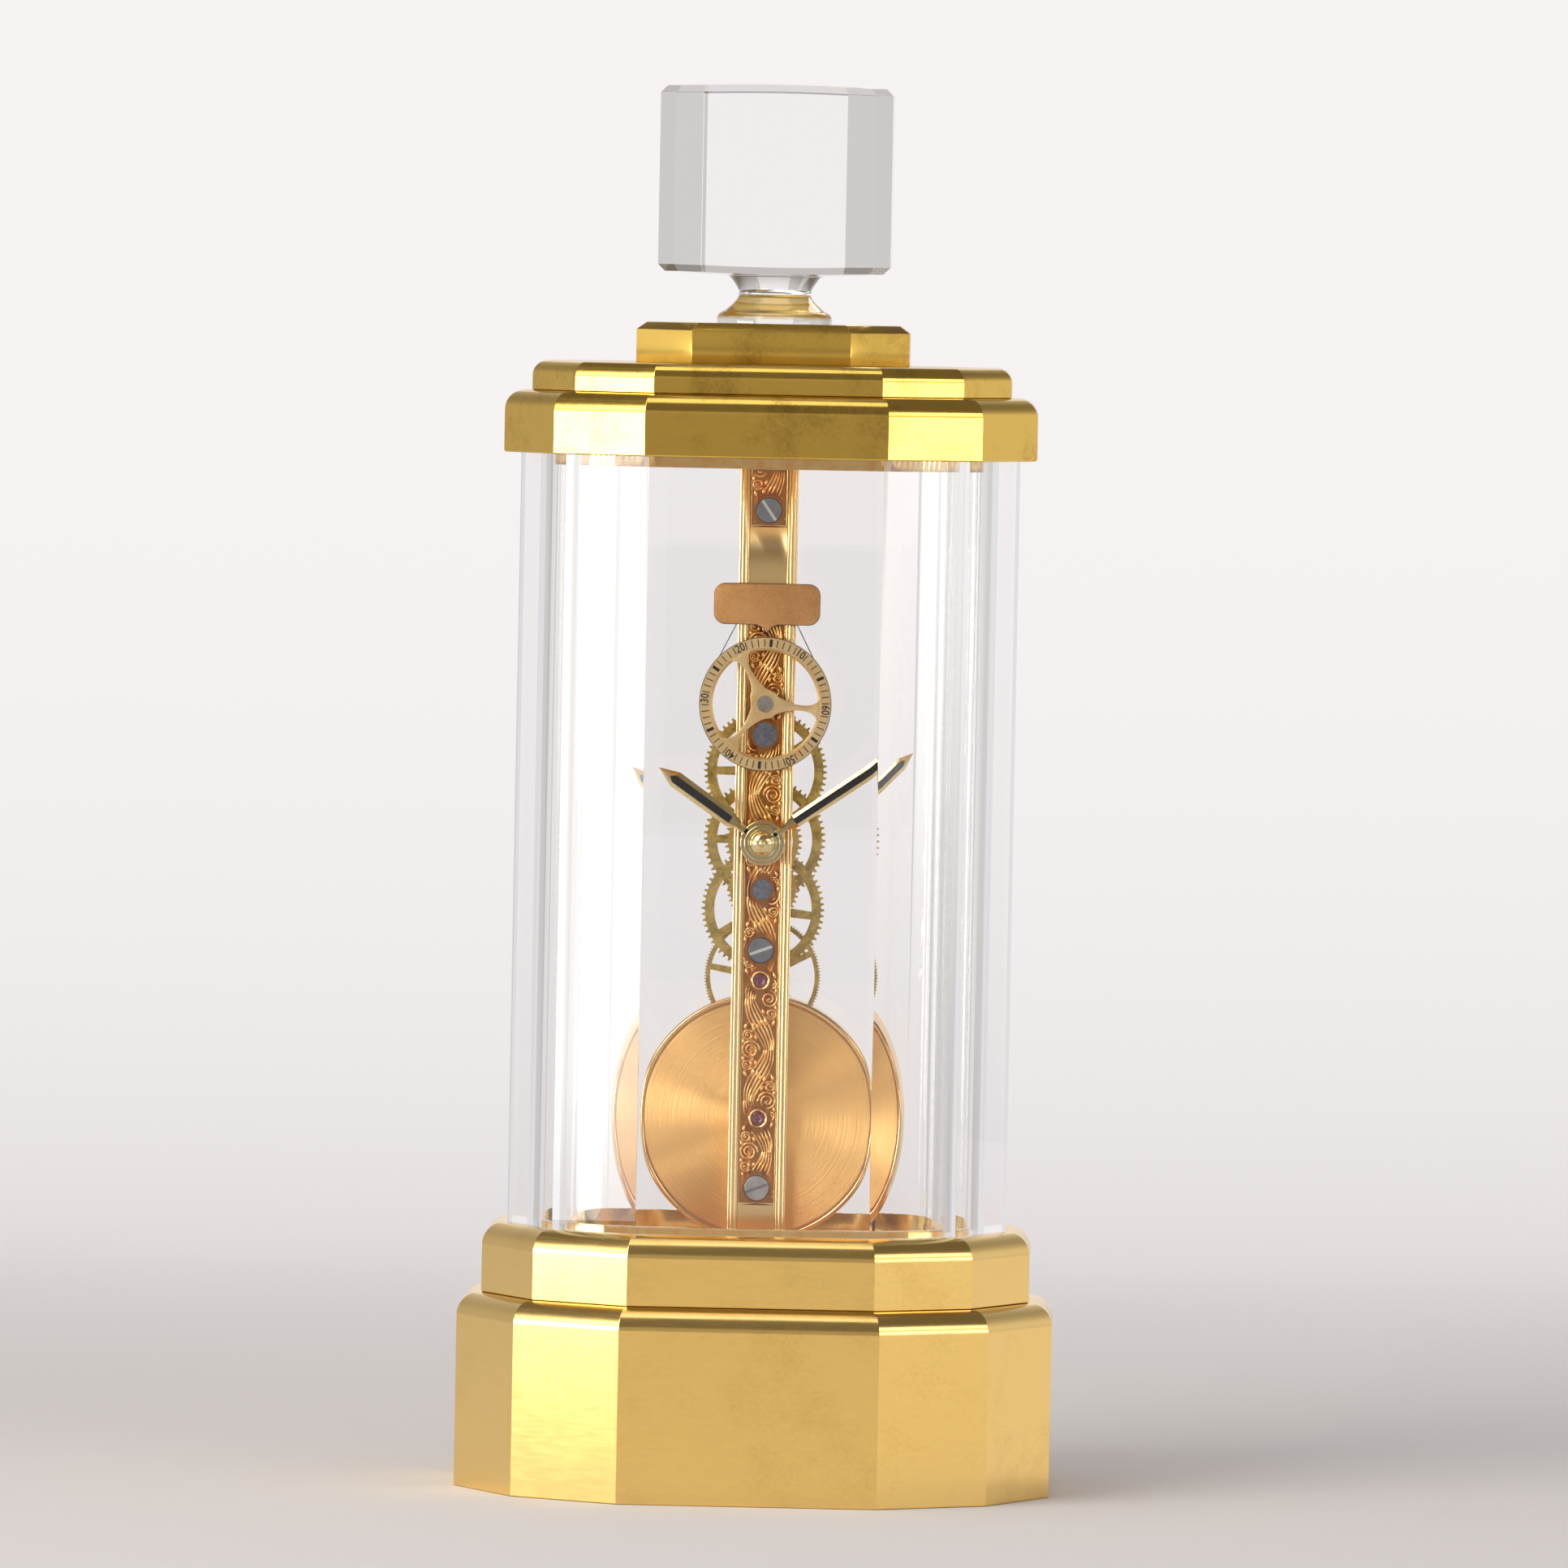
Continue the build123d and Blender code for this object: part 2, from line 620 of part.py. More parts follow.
cube_stretch_x = 19.6
cube_stretch_y = 12.0
cube_apothem = cap_top_half_y + 0.2 - cube_stretch_y / 2
cube_dome = 1.2
dome_reach = cube_apothem + cube_stretch_x / 2 + 8.4
foot_low = cap_top_top - finial_seat
foot_rim = foot_low + 1.6
foot_flare = foot_low + 3.1
neck_radius = 0.6244 * finial_foot_radius
neck_z = (foot_low + cube_low) / 2 + 1.5
join_z = cube_low + 0.6
with BuildPart() as finial:
    with BuildSketch(Plane.XZ) as lens:
        with BuildLine():
            Line((0, cube_low), (0, overall_height))
            ThreePointArc((0, overall_height), (dome_reach / 2, overall_height - cube_dome / 4),
                          (dome_reach, overall_height - cube_dome))
            Line((dome_reach, overall_height - cube_dome), (dome_reach, cube_low + cube_dome))
            ThreePointArc((dome_reach, cube_low + cube_dome), (dome_reach / 2, cube_low + cube_dome / 4),
                          (0, cube_low))
        make_face()
    revolve(lens.sketch, axis=Axis.Z)
    cube_plan = plan_points(cube_apothem, cube_stretch_x, cube_stretch_y)
    prism(cube_plan, cube_low - 1, overall_height + 1, Mode.INTERSECT)
    with BuildSketch(Plane.XZ) as foot:
        with BuildLine():
            Line((0, foot_low), (finial_foot_radius, foot_low))
            Line((finial_foot_radius, foot_low), (finial_foot_radius, foot_rim))
            ThreePointArc((finial_foot_radius, foot_rim), (0.946 * finial_foot_radius, foot_rim + 1.0),
                          (0.868 * finial_foot_radius, foot_flare))
            ThreePointArc((0.868 * finial_foot_radius, foot_flare), (neck_radius, neck_z),
                          (0.839 * finial_foot_radius, join_z))
            Line((0.839 * finial_foot_radius, join_z), (0, join_z))
            Line((0, join_z), (0, foot_low))
        make_face()
    revolve(foot.sketch, axis=Axis.Z)
save(finial, "finial")

# movement frame
def jewel_hole(z):
    disc(z, jewel_radius + seat_clearance, bridge_front, bridge_front + jewel_height, Mode.SUBTRACT)
    disc(z, 1.0, bridge_front, bridge_back, Mode.SUBTRACT)


with BuildPart() as bridge:
    block(-bridge_half, bridge_half, bridge_front, bridge_back, floor_top, bridge_top)
    for low, high in ((band_low, panel_low), (panel_high, bridge_top)):
        block(-band_half, band_half, bridge_front, bridge_front + band_depth, low, high, Mode.SUBTRACT)
    for screw_z in (top_screw_z, low_screw_z, cock_screw_z):
        disc(screw_z, front_head_radius + 0.35, bridge_front, bridge_front + band_depth)
        disc(screw_z, front_shank_radius + screw_clearance, bridge_front, bridge_back, Mode.SUBTRACT)
        disc(screw_z, front_head_radius + 0.1, bridge_front, bridge_front + front_head_height, Mode.SUBTRACT)
    for place, head, pin in ((cock_stud_z, cock_stud_radius, cock_pin_radius),
                             (stud_z, minute_stud_radius, minute_pin_radius)):
        disc(place, head + 0.3, bridge_front, bridge_front + band_depth)
        disc(place, pin + seat_clearance, bridge_front, bridge_back, Mode.SUBTRACT)
        disc(place, head + screw_clearance, bridge_front, bridge_front + stud_head_height, Mode.SUBTRACT)
    for jewel_z in (first_z, rotor_z):
        disc(jewel_z, jewel_radius + 0.6, bridge_front, bridge_front + band_depth)
        jewel_hole(jewel_z)
    disc(centre_z, hour_tube_radius + 0.7, bridge_front, bridge_front + band_depth)
    disc(centre_z, hour_tube_radius + running_clearance, bridge_front, bridge_back, Mode.SUBTRACT)
    disc(seconds_z, seconds_neck_radius + 0.9, bridge_front, bridge_front + band_depth)
    disc(seconds_z, seconds_neck_radius + running_clearance, bridge_front, bridge_back, Mode.SUBTRACT)
    for px in (-plate_post_x, plate_post_x):
        disc(plate_z + 0.6, dowel_radius + seat_clearance, bridge_front, bridge_back - 0.5, Mode.SUBTRACT, px)
save(bridge, "bridge")

with BuildPart() as bridge_jewels:
    for jewel_z in (first_z, rotor_z):
        disc(jewel_z, jewel_radius, bridge_front, bridge_front + jewel_height)
        disc(jewel_z, pivot_hole, bridge_front + 0.2, bridge_front + jewel_height, Mode.SUBTRACT)
save(bridge_jewels, "bridge_jewels")

rear_bearings = (rotor_z, inter_z, first_z, second_z, centre_z, third_z, seconds_z)
with BuildPart() as rear_plate:
    block(-rear_half, rear_half, rear_front, rear_back, floor_top, bridge_top)
    for jewel_z in rear_bearings:
        disc(jewel_z, jewel_radius + seat_clearance, rear_front, rear_front + jewel_height, Mode.SUBTRACT)
        disc(jewel_z, 0.7, rear_front, rear_back, Mode.SUBTRACT)
    for px in (-dowel_half_x, dowel_half_x):
        disc(low_screw_z, dowel_radius + seat_clearance, rear_front, rear_back, Mode.SUBTRACT, px)
    for screw_z in bracket_screws:
        disc(screw_z, front_shank_radius + screw_clearance, rear_front + 0.2, rear_back, Mode.SUBTRACT)
    for screw_z in head_screws:
        disc(screw_z, front_shank_radius + screw_clearance, rear_front, rear_back, Mode.SUBTRACT)
save(rear_plate, "rear_plate")

with BuildPart() as rear_jewels:
    for jewel_z in rear_bearings:
        disc(jewel_z, jewel_radius, rear_front, rear_front + jewel_height)
        disc(jewel_z, pivot_hole, rear_front, rear_front + jewel_height, Mode.SUBTRACT)
save(rear_jewels, "rear_jewels")

with BuildPart() as head_block:
    block(-4.0, 4.0, bridge_back, rear_front, head_low, bridge_top)
    disc(top_screw_z, front_shank_radius + screw_clearance, bridge_back, 0.2, Mode.SUBTRACT)
    for screw_z in head_screws:
        disc(screw_z, front_shank_radius + screw_clearance, rear_front - 4.2, rear_front, Mode.SUBTRACT)
    upright(0, tie_y, case_hole, tie_hole_low, bridge_top, Mode.SUBTRACT)
save(head_block, "head_block")

bracket_back = rear_back + bracket_wall
foot_top = floor_top + bracket_wall
with BuildPart() as foot_bracket:
    block(-bracket_half, bracket_half, rear_back, bracket_back, floor_top, bracket_screws[1] + 3.0)
    block(-bracket_half, bracket_half, rear_back, bracket_reach, floor_top, foot_top)
    for px, py in bracket_screw_places:
        upright(px, py, front_shank_radius + screw_clearance, floor_top, foot_top, Mode.SUBTRACT)
    for screw_z in bracket_screws:
        disc(screw_z, front_shank_radius + screw_clearance, rear_back, bracket_back, Mode.SUBTRACT)
save(foot_bracket, "foot_bracket")

with BuildPart() as rear_screws:
    for px, py in bracket_screw_places:
        upright(px, py, front_shank_radius, floor_underside + 0.6, foot_top)
        upright(px, py, small_head_radius, foot_top, foot_top + small_head_height)
    for screw_z in bracket_screws:
        disc(screw_z, front_shank_radius, rear_front + 0.4, bracket_back)
        disc(screw_z, small_head_radius, bracket_back, bracket_back + small_head_height)
    for screw_z in head_screws:
        disc(screw_z, front_shank_radius, rear_front - 4.0, rear_back)
        disc(screw_z, small_head_radius, rear_back, rear_back + small_head_height)
save(rear_screws, "rear_screws")

with BuildPart() as bridge_screws:
    seat = bridge_front + front_head_height
    screws = ((top_screw_z, 0.0, -55.0), (low_screw_z, -1.5, 20.0), (cock_screw_z, -1.4, 20.0))
    for screw_z, tip_y, turn in screws:
        disc(screw_z, front_head_radius, bridge_front, seat)
        disc(screw_z, front_shank_radius, seat, tip_y)
        slot(screw_z, turn, bridge_front, bridge_front + slot_depth)
save(bridge_screws, "bridge_screws")

with BuildPart() as upper_cock:
    stadium(third_z, cock_stud_z, cock_stud_radius + 0.1, cock_layer[0], cock_layer[1])
    disc(cock_stud_z, cock_stud_radius - 0.2, bridge_back, cock_layer[0])
    disc(cock_stud_z, cock_pin_radius + seat_clearance, bridge_back, bridge_back + 2.6, Mode.SUBTRACT)
    disc(third_z, pivot_hole, cock_layer[0], cock_layer[1], Mode.SUBTRACT)
save(upper_cock, "upper_cock")

with BuildPart() as cock_stud:
    disc(cock_stud_z, cock_stud_radius, bridge_front, bridge_front + stud_head_height)
    disc(cock_stud_z, cock_pin_radius, bridge_front + stud_head_height, bridge_back + 2.5)
save(cock_stud, "cock_stud")

with BuildPart() as lower_cock:
    stadium(cock_screw_z, second_z, 2.2, cock_layer[0], cock_layer[1])
    disc(cock_screw_z, 2.1, bridge_back, cock_layer[0])
    disc(cock_screw_z, front_shank_radius + screw_clearance, bridge_back, -1.2, Mode.SUBTRACT)
    disc(second_z, pivot_hole, cock_layer[0], cock_layer[1], Mode.SUBTRACT)
save(lower_cock, "lower_cock")

with BuildPart() as minute_stud:
    disc(stud_z, minute_stud_radius, bridge_front, bridge_front + stud_head_height)
    disc(stud_z, minute_pin_radius, bridge_front + stud_head_height, bridge_back)
    disc(stud_z, minute_pin_radius + 0.6, bridge_back, bridge_back + 0.5)
    disc(stud_z, minute_pin_radius, bridge_back + 0.5, motion_2[1] + 0.25)
save(minute_stud, "minute_stud")

with BuildPart() as index_plate:
    with BuildSketch(facing(plate_layer[1])) as face:
        with Locations((0, plate_z)):
            RectangleRounded(2 * plate_half_x, 2 * plate_half_z, plate_corner)
        with BuildLine():
            Polyline((-1.1, plate_z - plate_half_z + 0.1), (1.1, plate_z - plate_half_z + 0.1),
                     (0, plate_z - plate_half_z - 1.5), close=True)
        make_face()
    extrude(face.sketch, amount=plate_layer[1] - plate_layer[0])
    for px in (-plate_post_x, plate_post_x):
        disc(plate_z + 0.6, dowel_radius, plate_layer[1], bridge_back - 0.6, Mode.ADD, px)
save(index_plate, "index_plate")


with BuildPart() as ring_guard:
    near = plate_half_z - 0.4
    lean = math.asin((guard_radius - near) / (plate_z - seconds_z))
    loops = []
    for grow in (guard_wire / 2, -guard_wire / 2):
        edge = []
        for k in range(25):
            angle = math.pi - lean + (math.pi + 2 * lean) * k / 24
            reach = guard_radius + grow
            edge.append((reach * math.cos(angle), seconds_z + reach * math.sin(angle)))
        for k in range(9):
            angle = lean + (math.pi - 2 * lean) * k / 8
            edge.append(((near + grow) * math.cos(angle), plate_z + (near + grow) * math.sin(angle)))
        loops.append(edge)
    sheet(loops[0], plate_layer[1], plate_layer[1] + guard_wire)
    sheet(loops[1], plate_layer[1], plate_layer[1] + guard_wire, Mode.SUBTRACT)
save(ring_guard, "ring_guard")

# drum
with BuildPart() as motor_can:
    disc(rotor_z, drum_radius, drum_front, drum_back)
    disc(rotor_z, face_radius, drum_front, face_layer[1], Mode.SUBTRACT)
    disc(rotor_z, ledge_radius, face_layer[1], drum_back - drum_floor, Mode.SUBTRACT)
    disc(low_screw_z, 2.8, face_layer[1], drum_back - drum_floor)
    disc(low_screw_z, front_shank_radius + screw_clearance, face_layer[1], -1.0, Mode.SUBTRACT)
    for px in (1.8 - stator_half_x, stator_half_x - 1.8):
        disc(rotor_z + 1.0, 1.4, stator_layer[1], drum_back - drum_floor, Mode.ADD, px)
    disc(rotor_z, 1.2, drum_back - drum_floor, drum_back, Mode.SUBTRACT)
    disc(inter_z, pivot_hole, drum_back - drum_floor, drum_back, Mode.SUBTRACT)
    for px in (-dowel_half_x, dowel_half_x):
        disc(low_screw_z, dowel_radius + seat_clearance, drum_back - drum_floor, drum_back, Mode.SUBTRACT, px)
save(motor_can, "motor_can")

with BuildPart() as motor_cover:
    disc(rotor_z, face_radius - face_clearance, face_layer[0], face_layer[1])
    disc(rotor_z, 1.2, face_layer[0], face_layer[1], Mode.SUBTRACT)
    disc(low_screw_z, front_shank_radius + 0.2, face_layer[0], face_layer[1], Mode.SUBTRACT)
save(motor_cover, "motor_cover")

coil_z = rotor_z + coil_rise
core_half = 1.5
window_half = stator_half_x - 3.4
with BuildPart() as motor_stator:
    block(-stator_half_x, stator_half_x, *stator_layer, rotor_z - 4.0, coil_z + core_half)
    block(-window_half, window_half, *stator_layer, rotor_z + 4.0, coil_z - core_half, Mode.SUBTRACT)
    disc(rotor_z, magnet_radius + 0.4, *stator_layer, Mode.SUBTRACT)
save(motor_stator, "motor_stator")

coil_half = window_half - 0.6
with BuildPart() as motor_coil:
    with BuildSketch(Plane.YZ.offset(-coil_half)) as winding:
        with Locations((sum(stator_layer) / 2, coil_z)):
            Circle(core_half + 0.6)
            Rectangle(stator_layer[1] - stator_layer[0] + 0.02, 2 * core_half + 0.04, mode=Mode.SUBTRACT)
    extrude(winding.sketch, amount=2 * coil_half)
save(motor_coil, "motor_coil")

with BuildPart() as motor_pillars:
    for px in (-dowel_half_x, dowel_half_x):
        disc(low_screw_z, dowel_radius + 0.6, drum_back, rear_front, Mode.ADD, px)
        disc(low_screw_z, dowel_radius, drum_back - drum_floor, drum_back, Mode.ADD, px)
        disc(low_screw_z, dowel_radius, rear_front, rear_back, Mode.ADD, px)
save(motor_pillars, "motor_pillars")

# going train
train_module = module_of(arbor_pitch, third_teeth, train_pinion)
centre_module = module_of(arbor_pitch, centre_teeth, train_pinion)
first_module = module_of(arbor_pitch, first_teeth, inter_pinion_teeth)
inter_module = module_of(arbor_pitch, inter_teeth, rotor_teeth)
cannon_module = module_of(motion_pitch, minute_wheel_teeth, cannon_teeth)
hour_module = module_of(motion_pitch, hour_wheel_teeth, minute_pinion_teeth)
arbor_end = rear_front - shoulder_gap
jewel_inside = bridge_front + jewel_height + shoulder_gap


def rim_inner(count, module, rim_width):
    return module * (count / 2 - wheel_dedendum) - rim_width


def wheel(z, count, module, layer, bore, rim_width, hub, near, far, first_angle):
    wheel_teeth(count, module, z, layer[0], layer[1])
    rim = rim_inner(count, module, rim_width)
    spoke_windows(z, rim, hub, near, far, first_angle, layer[0], layer[1])
    disc(z, bore + seat_clearance, layer[0], layer[1], Mode.SUBTRACT)


with BuildPart() as seconds_ring:
    disc(seconds_z, ring_outer, ring_layer[0], ring_layer[1])
    disc(seconds_z, ring_inner, ring_layer[0], ring_layer[1], Mode.SUBTRACT)
    disc(seconds_z, ring_hub, ring_layer[0], ring_layer[1])
    for angle in ring_spokes:
        arm = []
        for share, half in ((0.19, 1.3), (0.42, 0.85), (0.67, 0.7), (0.86, 1.0), (0.96, 1.7), (1.026, 3.0)):
            arm.append((share * ring_inner, half))
        both = arm + [(r, -h) for r, h in reversed(arm)]
        turn = math.radians(angle)
        shape = []
        for r, h in both:
            across = r * math.cos(turn) - h * math.sin(turn)
            up = r * math.sin(turn) + h * math.cos(turn)
            shape.append((across, seconds_z + up))
        sheet(shape, ring_layer[0], ring_layer[1])
    disc(seconds_z, seconds_seat_radius + seat_clearance, ring_layer[0], ring_layer[1], Mode.SUBTRACT)
save(seconds_ring, "seconds_ring")

with BuildPart() as seconds_arbor:
    disc(seconds_z, seconds_seat_radius, ring_layer[0] - 0.2, ring_layer[1])
    disc(seconds_z, 2.0, ring_layer[1], ring_layer[1] + 0.5)
    disc(seconds_z, seconds_neck_radius, ring_layer[1] + 0.5, bridge_back + 0.3)
    arbor(seconds_z, bridge_back + 0.3, arbor_end)
    pinion_teeth(train_pinion, train_module, seconds_z, layer_1[0], layer_1[1])
    rear_pivot(seconds_z)
save(seconds_arbor, "seconds_arbor")

with BuildPart() as third_wheel:
    wheel(third_z, third_teeth, train_module, layer_1, arbor_radius, 1.68, 2.2, 0.9, 0.65, 180.0)
save(third_wheel, "third_wheel")

with BuildPart() as third_arbor:
    arbor(third_z, cock_layer[1] + shoulder_gap, arbor_end)
    disc(third_z, pivot_radius, cock_layer[0] + 0.1, cock_layer[1] + shoulder_gap)
    disc(third_z, collar_radius, layer_1[1], layer_1[1] + collar_height)
    pinion_teeth(train_pinion, centre_module, third_z, layer_2[0], layer_2[1])
    rear_pivot(third_z)
save(third_arbor, "third_arbor")

with BuildPart() as centre_wheel:
    wheel(centre_z, centre_teeth, centre_module, layer_2, centre_radius, 1.77, 2.2, 0.9, 0.65, 180.0)
save(centre_wheel, "centre_wheel")

with BuildPart() as centre_arbor:
    arbor(centre_z, minute_layer[0] - 0.3, layer_2[1] + collar_height, centre_radius)
    disc(centre_z, collar_radius, layer_2[1], layer_2[1] + collar_height)
    arbor(centre_z, layer_2[1] + collar_height, arbor_end)
    rear_pivot(centre_z)
save(centre_arbor, "centre_arbor")

with BuildPart() as second_wheel:
    wheel(second_z, second_teeth, train_module, layer_1, arbor_radius, 1.68, 2.2, 0.9, 0.65, -6.5)
save(second_wheel, "second_wheel")

with BuildPart() as second_arbor:
    arbor(second_z, cock_layer[1] + shoulder_gap, arbor_end)
    disc(second_z, pivot_radius, cock_layer[0] + 0.1, cock_layer[1] + shoulder_gap)
    disc(second_z, collar_radius, layer_1[1], layer_1[1] + collar_height)
    pinion_teeth(train_pinion, centre_module, second_z, layer_2[0], layer_2[1])
    rear_pivot(second_z)
save(second_arbor, "second_arbor")

with BuildPart() as first_wheel:
    wheel(first_z, first_teeth, first_module, layer_3, arbor_radius, 0.75, 2.0, 0.7, 0.5, 26.0)
save(first_wheel, "first_wheel")

with BuildPart() as first_arbor:
    arbor(first_z, jewel_inside, arbor_end)
    disc(first_z, pivot_radius, bridge_front + 0.3, jewel_inside)
    pinion_teeth(train_pinion, train_module, first_z, layer_1[0], layer_1[1])
    disc(first_z, collar_radius, layer_3[1], layer_3[1] + collar_height)
    rear_pivot(first_z)
save(first_arbor, "first_arbor")

with BuildPart() as inter_wheel:
    wheel(inter_z, inter_teeth, inter_module, layer_2, arbor_radius, 1.22, 2.2, 0.8, 0.55, 0.0)
save(inter_wheel, "inter_wheel")

with BuildPart() as inter_arbor:
    arbor(inter_z, drum_back + shoulder_gap, arbor_end)
    disc(inter_z, pivot_radius, drum_back - drum_floor + 0.1, drum_back + shoulder_gap)
    disc(inter_z, collar_radius, layer_2[1], layer_2[1] + collar_height)
    pinion_teeth(inter_pinion_teeth, first_module, inter_z, layer_3[0], layer_3[1])
    rear_pivot(inter_z)
save(inter_arbor, "inter_arbor")

with BuildPart() as rotor:
    arbor(rotor_z, jewel_inside, arbor_end)
    disc(rotor_z, pivot_radius, bridge_front + 0.3, jewel_inside)
    disc(rotor_z, magnet_radius, stator_layer[0] - 0.4, stator_layer[1] + 0.4)
    pinion_teeth(rotor_teeth, inter_module, rotor_z, layer_2[0], layer_2[1])
    rear_pivot(rotor_z)
save(rotor, "rotor")

# hands and the wheels that drive them
def hand_outline(length, half_width, neck_half):
    right = [
        (half_width, length - 3.6),
        (half_width - 0.1, hour_collar + 3.4),
        (neck_half - 0.05, hour_collar + 1.5),
        (neck_half, 0),
    ]
    left = [(-x, reach) for x, reach in reversed(right)]
    return left + [(0, length)] + right


with BuildPart() as cannon_pinion:
    disc(centre_z, cannon_radius, minute_layer[0], motion_2[1] + 0.3)
    pinion_teeth(cannon_teeth, cannon_module, centre_z, motion_2[0], motion_2[1])
    disc(centre_z, centre_radius + running_clearance, minute_layer[0], motion_2[1] + 0.3, Mode.SUBTRACT)
save(cannon_pinion, "cannon_pinion")

with BuildPart() as minute_hand:
    blade = hand_outline(minute_length, 1.25, 0.6)
    sheet(turned(blade, minute_angle, centre_z), minute_layer[0], minute_layer[1])
    chamfer(minute_hand.faces().sort_by(Axis.Y)[0].edges(), length=hand_bevel)
    disc(centre_z, minute_collar, minute_layer[0], minute_layer[1])
    disc(centre_z, cannon_radius + seat_clearance, minute_layer[0], minute_layer[1], Mode.SUBTRACT)
save(minute_hand, "minute_hand")

with BuildPart() as hand_cap:
    disc(centre_z, cap_radius, minute_layer[0] - 0.8, minute_layer[0])
    disc(centre_z, 0.9, minute_layer[0] - 1.2, minute_layer[0] - 0.8)
    disc(centre_z, centre_radius + 0.2, minute_layer[0] - 0.5, minute_layer[0], Mode.SUBTRACT)
save(hand_cap, "hand_cap")

with BuildPart() as hour_wheel:
    disc(centre_z, hour_tube_radius, hour_layer[0], motion_1[0])
    wheel_teeth(hour_wheel_teeth, hour_module, centre_z, motion_1[0], motion_1[1])
    hour_rim = rim_inner(hour_wheel_teeth, hour_module, 1.1)
    spoke_windows(centre_z, hour_rim, 3.2, 0.7, 0.5, 90.0, motion_1[0], motion_1[1])
    disc(centre_z, cannon_radius + running_clearance, hour_layer[0], motion_1[1], Mode.SUBTRACT)
save(hour_wheel, "hour_wheel")

with BuildPart() as hour_hand:
    blade = hand_outline(hour_length, 1.5, 0.8)
    sheet(turned(blade, hour_angle, centre_z), hour_layer[0], hour_layer[1])
    chamfer(hour_hand.faces().sort_by(Axis.Y)[0].edges(), length=hand_bevel)
    disc(centre_z, hour_collar, hour_layer[0], hour_layer[1])
    disc(centre_z, hour_tube_radius + seat_clearance, hour_layer[0], hour_layer[1], Mode.SUBTRACT)
save(hour_hand, "hour_hand")

with BuildPart() as minute_wheel:
    wheel_teeth(minute_wheel_teeth, cannon_module, stud_z, motion_2[0], motion_2[1])
    minute_rim = rim_inner(minute_wheel_teeth, cannon_module, 1.12)
    spoke_windows(stud_z, minute_rim, 2.4, 0.7, 0.5, 90.0, motion_2[0], motion_2[1])
    pinion_teeth(minute_pinion_teeth, hour_module, stud_z, motion_1[0], motion_1[1])
    disc(stud_z, 1.6, motion_1[1] + pinion_over, motion_2[0])
    disc(stud_z, 0.8 + running_clearance, motion_1[0] - pinion_over, motion_2[1], Mode.SUBTRACT)
save(minute_wheel, "minute_wheel")
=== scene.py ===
import bpy
import bmesh
import json
import math
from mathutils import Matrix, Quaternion, Vector
from mathutils.geometry import tessellate_polygon

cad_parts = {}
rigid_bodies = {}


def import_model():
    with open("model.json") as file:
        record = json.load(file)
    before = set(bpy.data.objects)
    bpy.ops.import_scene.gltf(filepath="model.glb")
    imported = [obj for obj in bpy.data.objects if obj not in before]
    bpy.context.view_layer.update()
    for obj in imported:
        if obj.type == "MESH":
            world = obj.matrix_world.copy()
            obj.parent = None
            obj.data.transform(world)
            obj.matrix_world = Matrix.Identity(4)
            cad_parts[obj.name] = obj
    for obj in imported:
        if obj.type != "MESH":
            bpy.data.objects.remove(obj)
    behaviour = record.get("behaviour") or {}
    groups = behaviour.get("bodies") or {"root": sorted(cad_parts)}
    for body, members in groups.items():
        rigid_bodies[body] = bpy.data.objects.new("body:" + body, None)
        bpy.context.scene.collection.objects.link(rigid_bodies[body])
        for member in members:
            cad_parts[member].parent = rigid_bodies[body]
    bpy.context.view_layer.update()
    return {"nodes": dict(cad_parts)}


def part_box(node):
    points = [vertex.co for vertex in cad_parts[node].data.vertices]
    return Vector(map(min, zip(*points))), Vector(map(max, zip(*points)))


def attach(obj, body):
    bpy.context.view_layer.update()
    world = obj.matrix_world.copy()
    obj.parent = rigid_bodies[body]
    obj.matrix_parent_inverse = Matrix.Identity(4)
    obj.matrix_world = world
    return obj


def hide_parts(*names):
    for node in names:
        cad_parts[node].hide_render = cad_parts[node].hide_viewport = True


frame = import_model()
mm = 0.001
print("frame loaded:", len(frame["nodes"]), "nodes")


class Tap:  # a node socket that takes part in sums
    def __init__(self, board, socket):
        self.board = board
        self.socket = socket

    def __add__(self, other):
        return self.board.math("ADD", self, other)

    def __sub__(self, other):
        return self.board.math("SUBTRACT", self, other)

    def __rsub__(self, other):
        return self.board.math("SUBTRACT", other, self)

    def __mul__(self, other):
        return self.board.math("MULTIPLY", self, other)

    def __truediv__(self, other):
        return self.board.math("DIVIDE", self, other)

    def __gt__(self, other):
        return self.board.math("GREATER_THAN", self, other)

    def __lt__(self, other):
        return self.board.math("LESS_THAN", self, other)

    def __mod__(self, other):
        return self.board.math("FLOORED_MODULO", self, other)

    __radd__ = __add__
    __rmul__ = __mul__


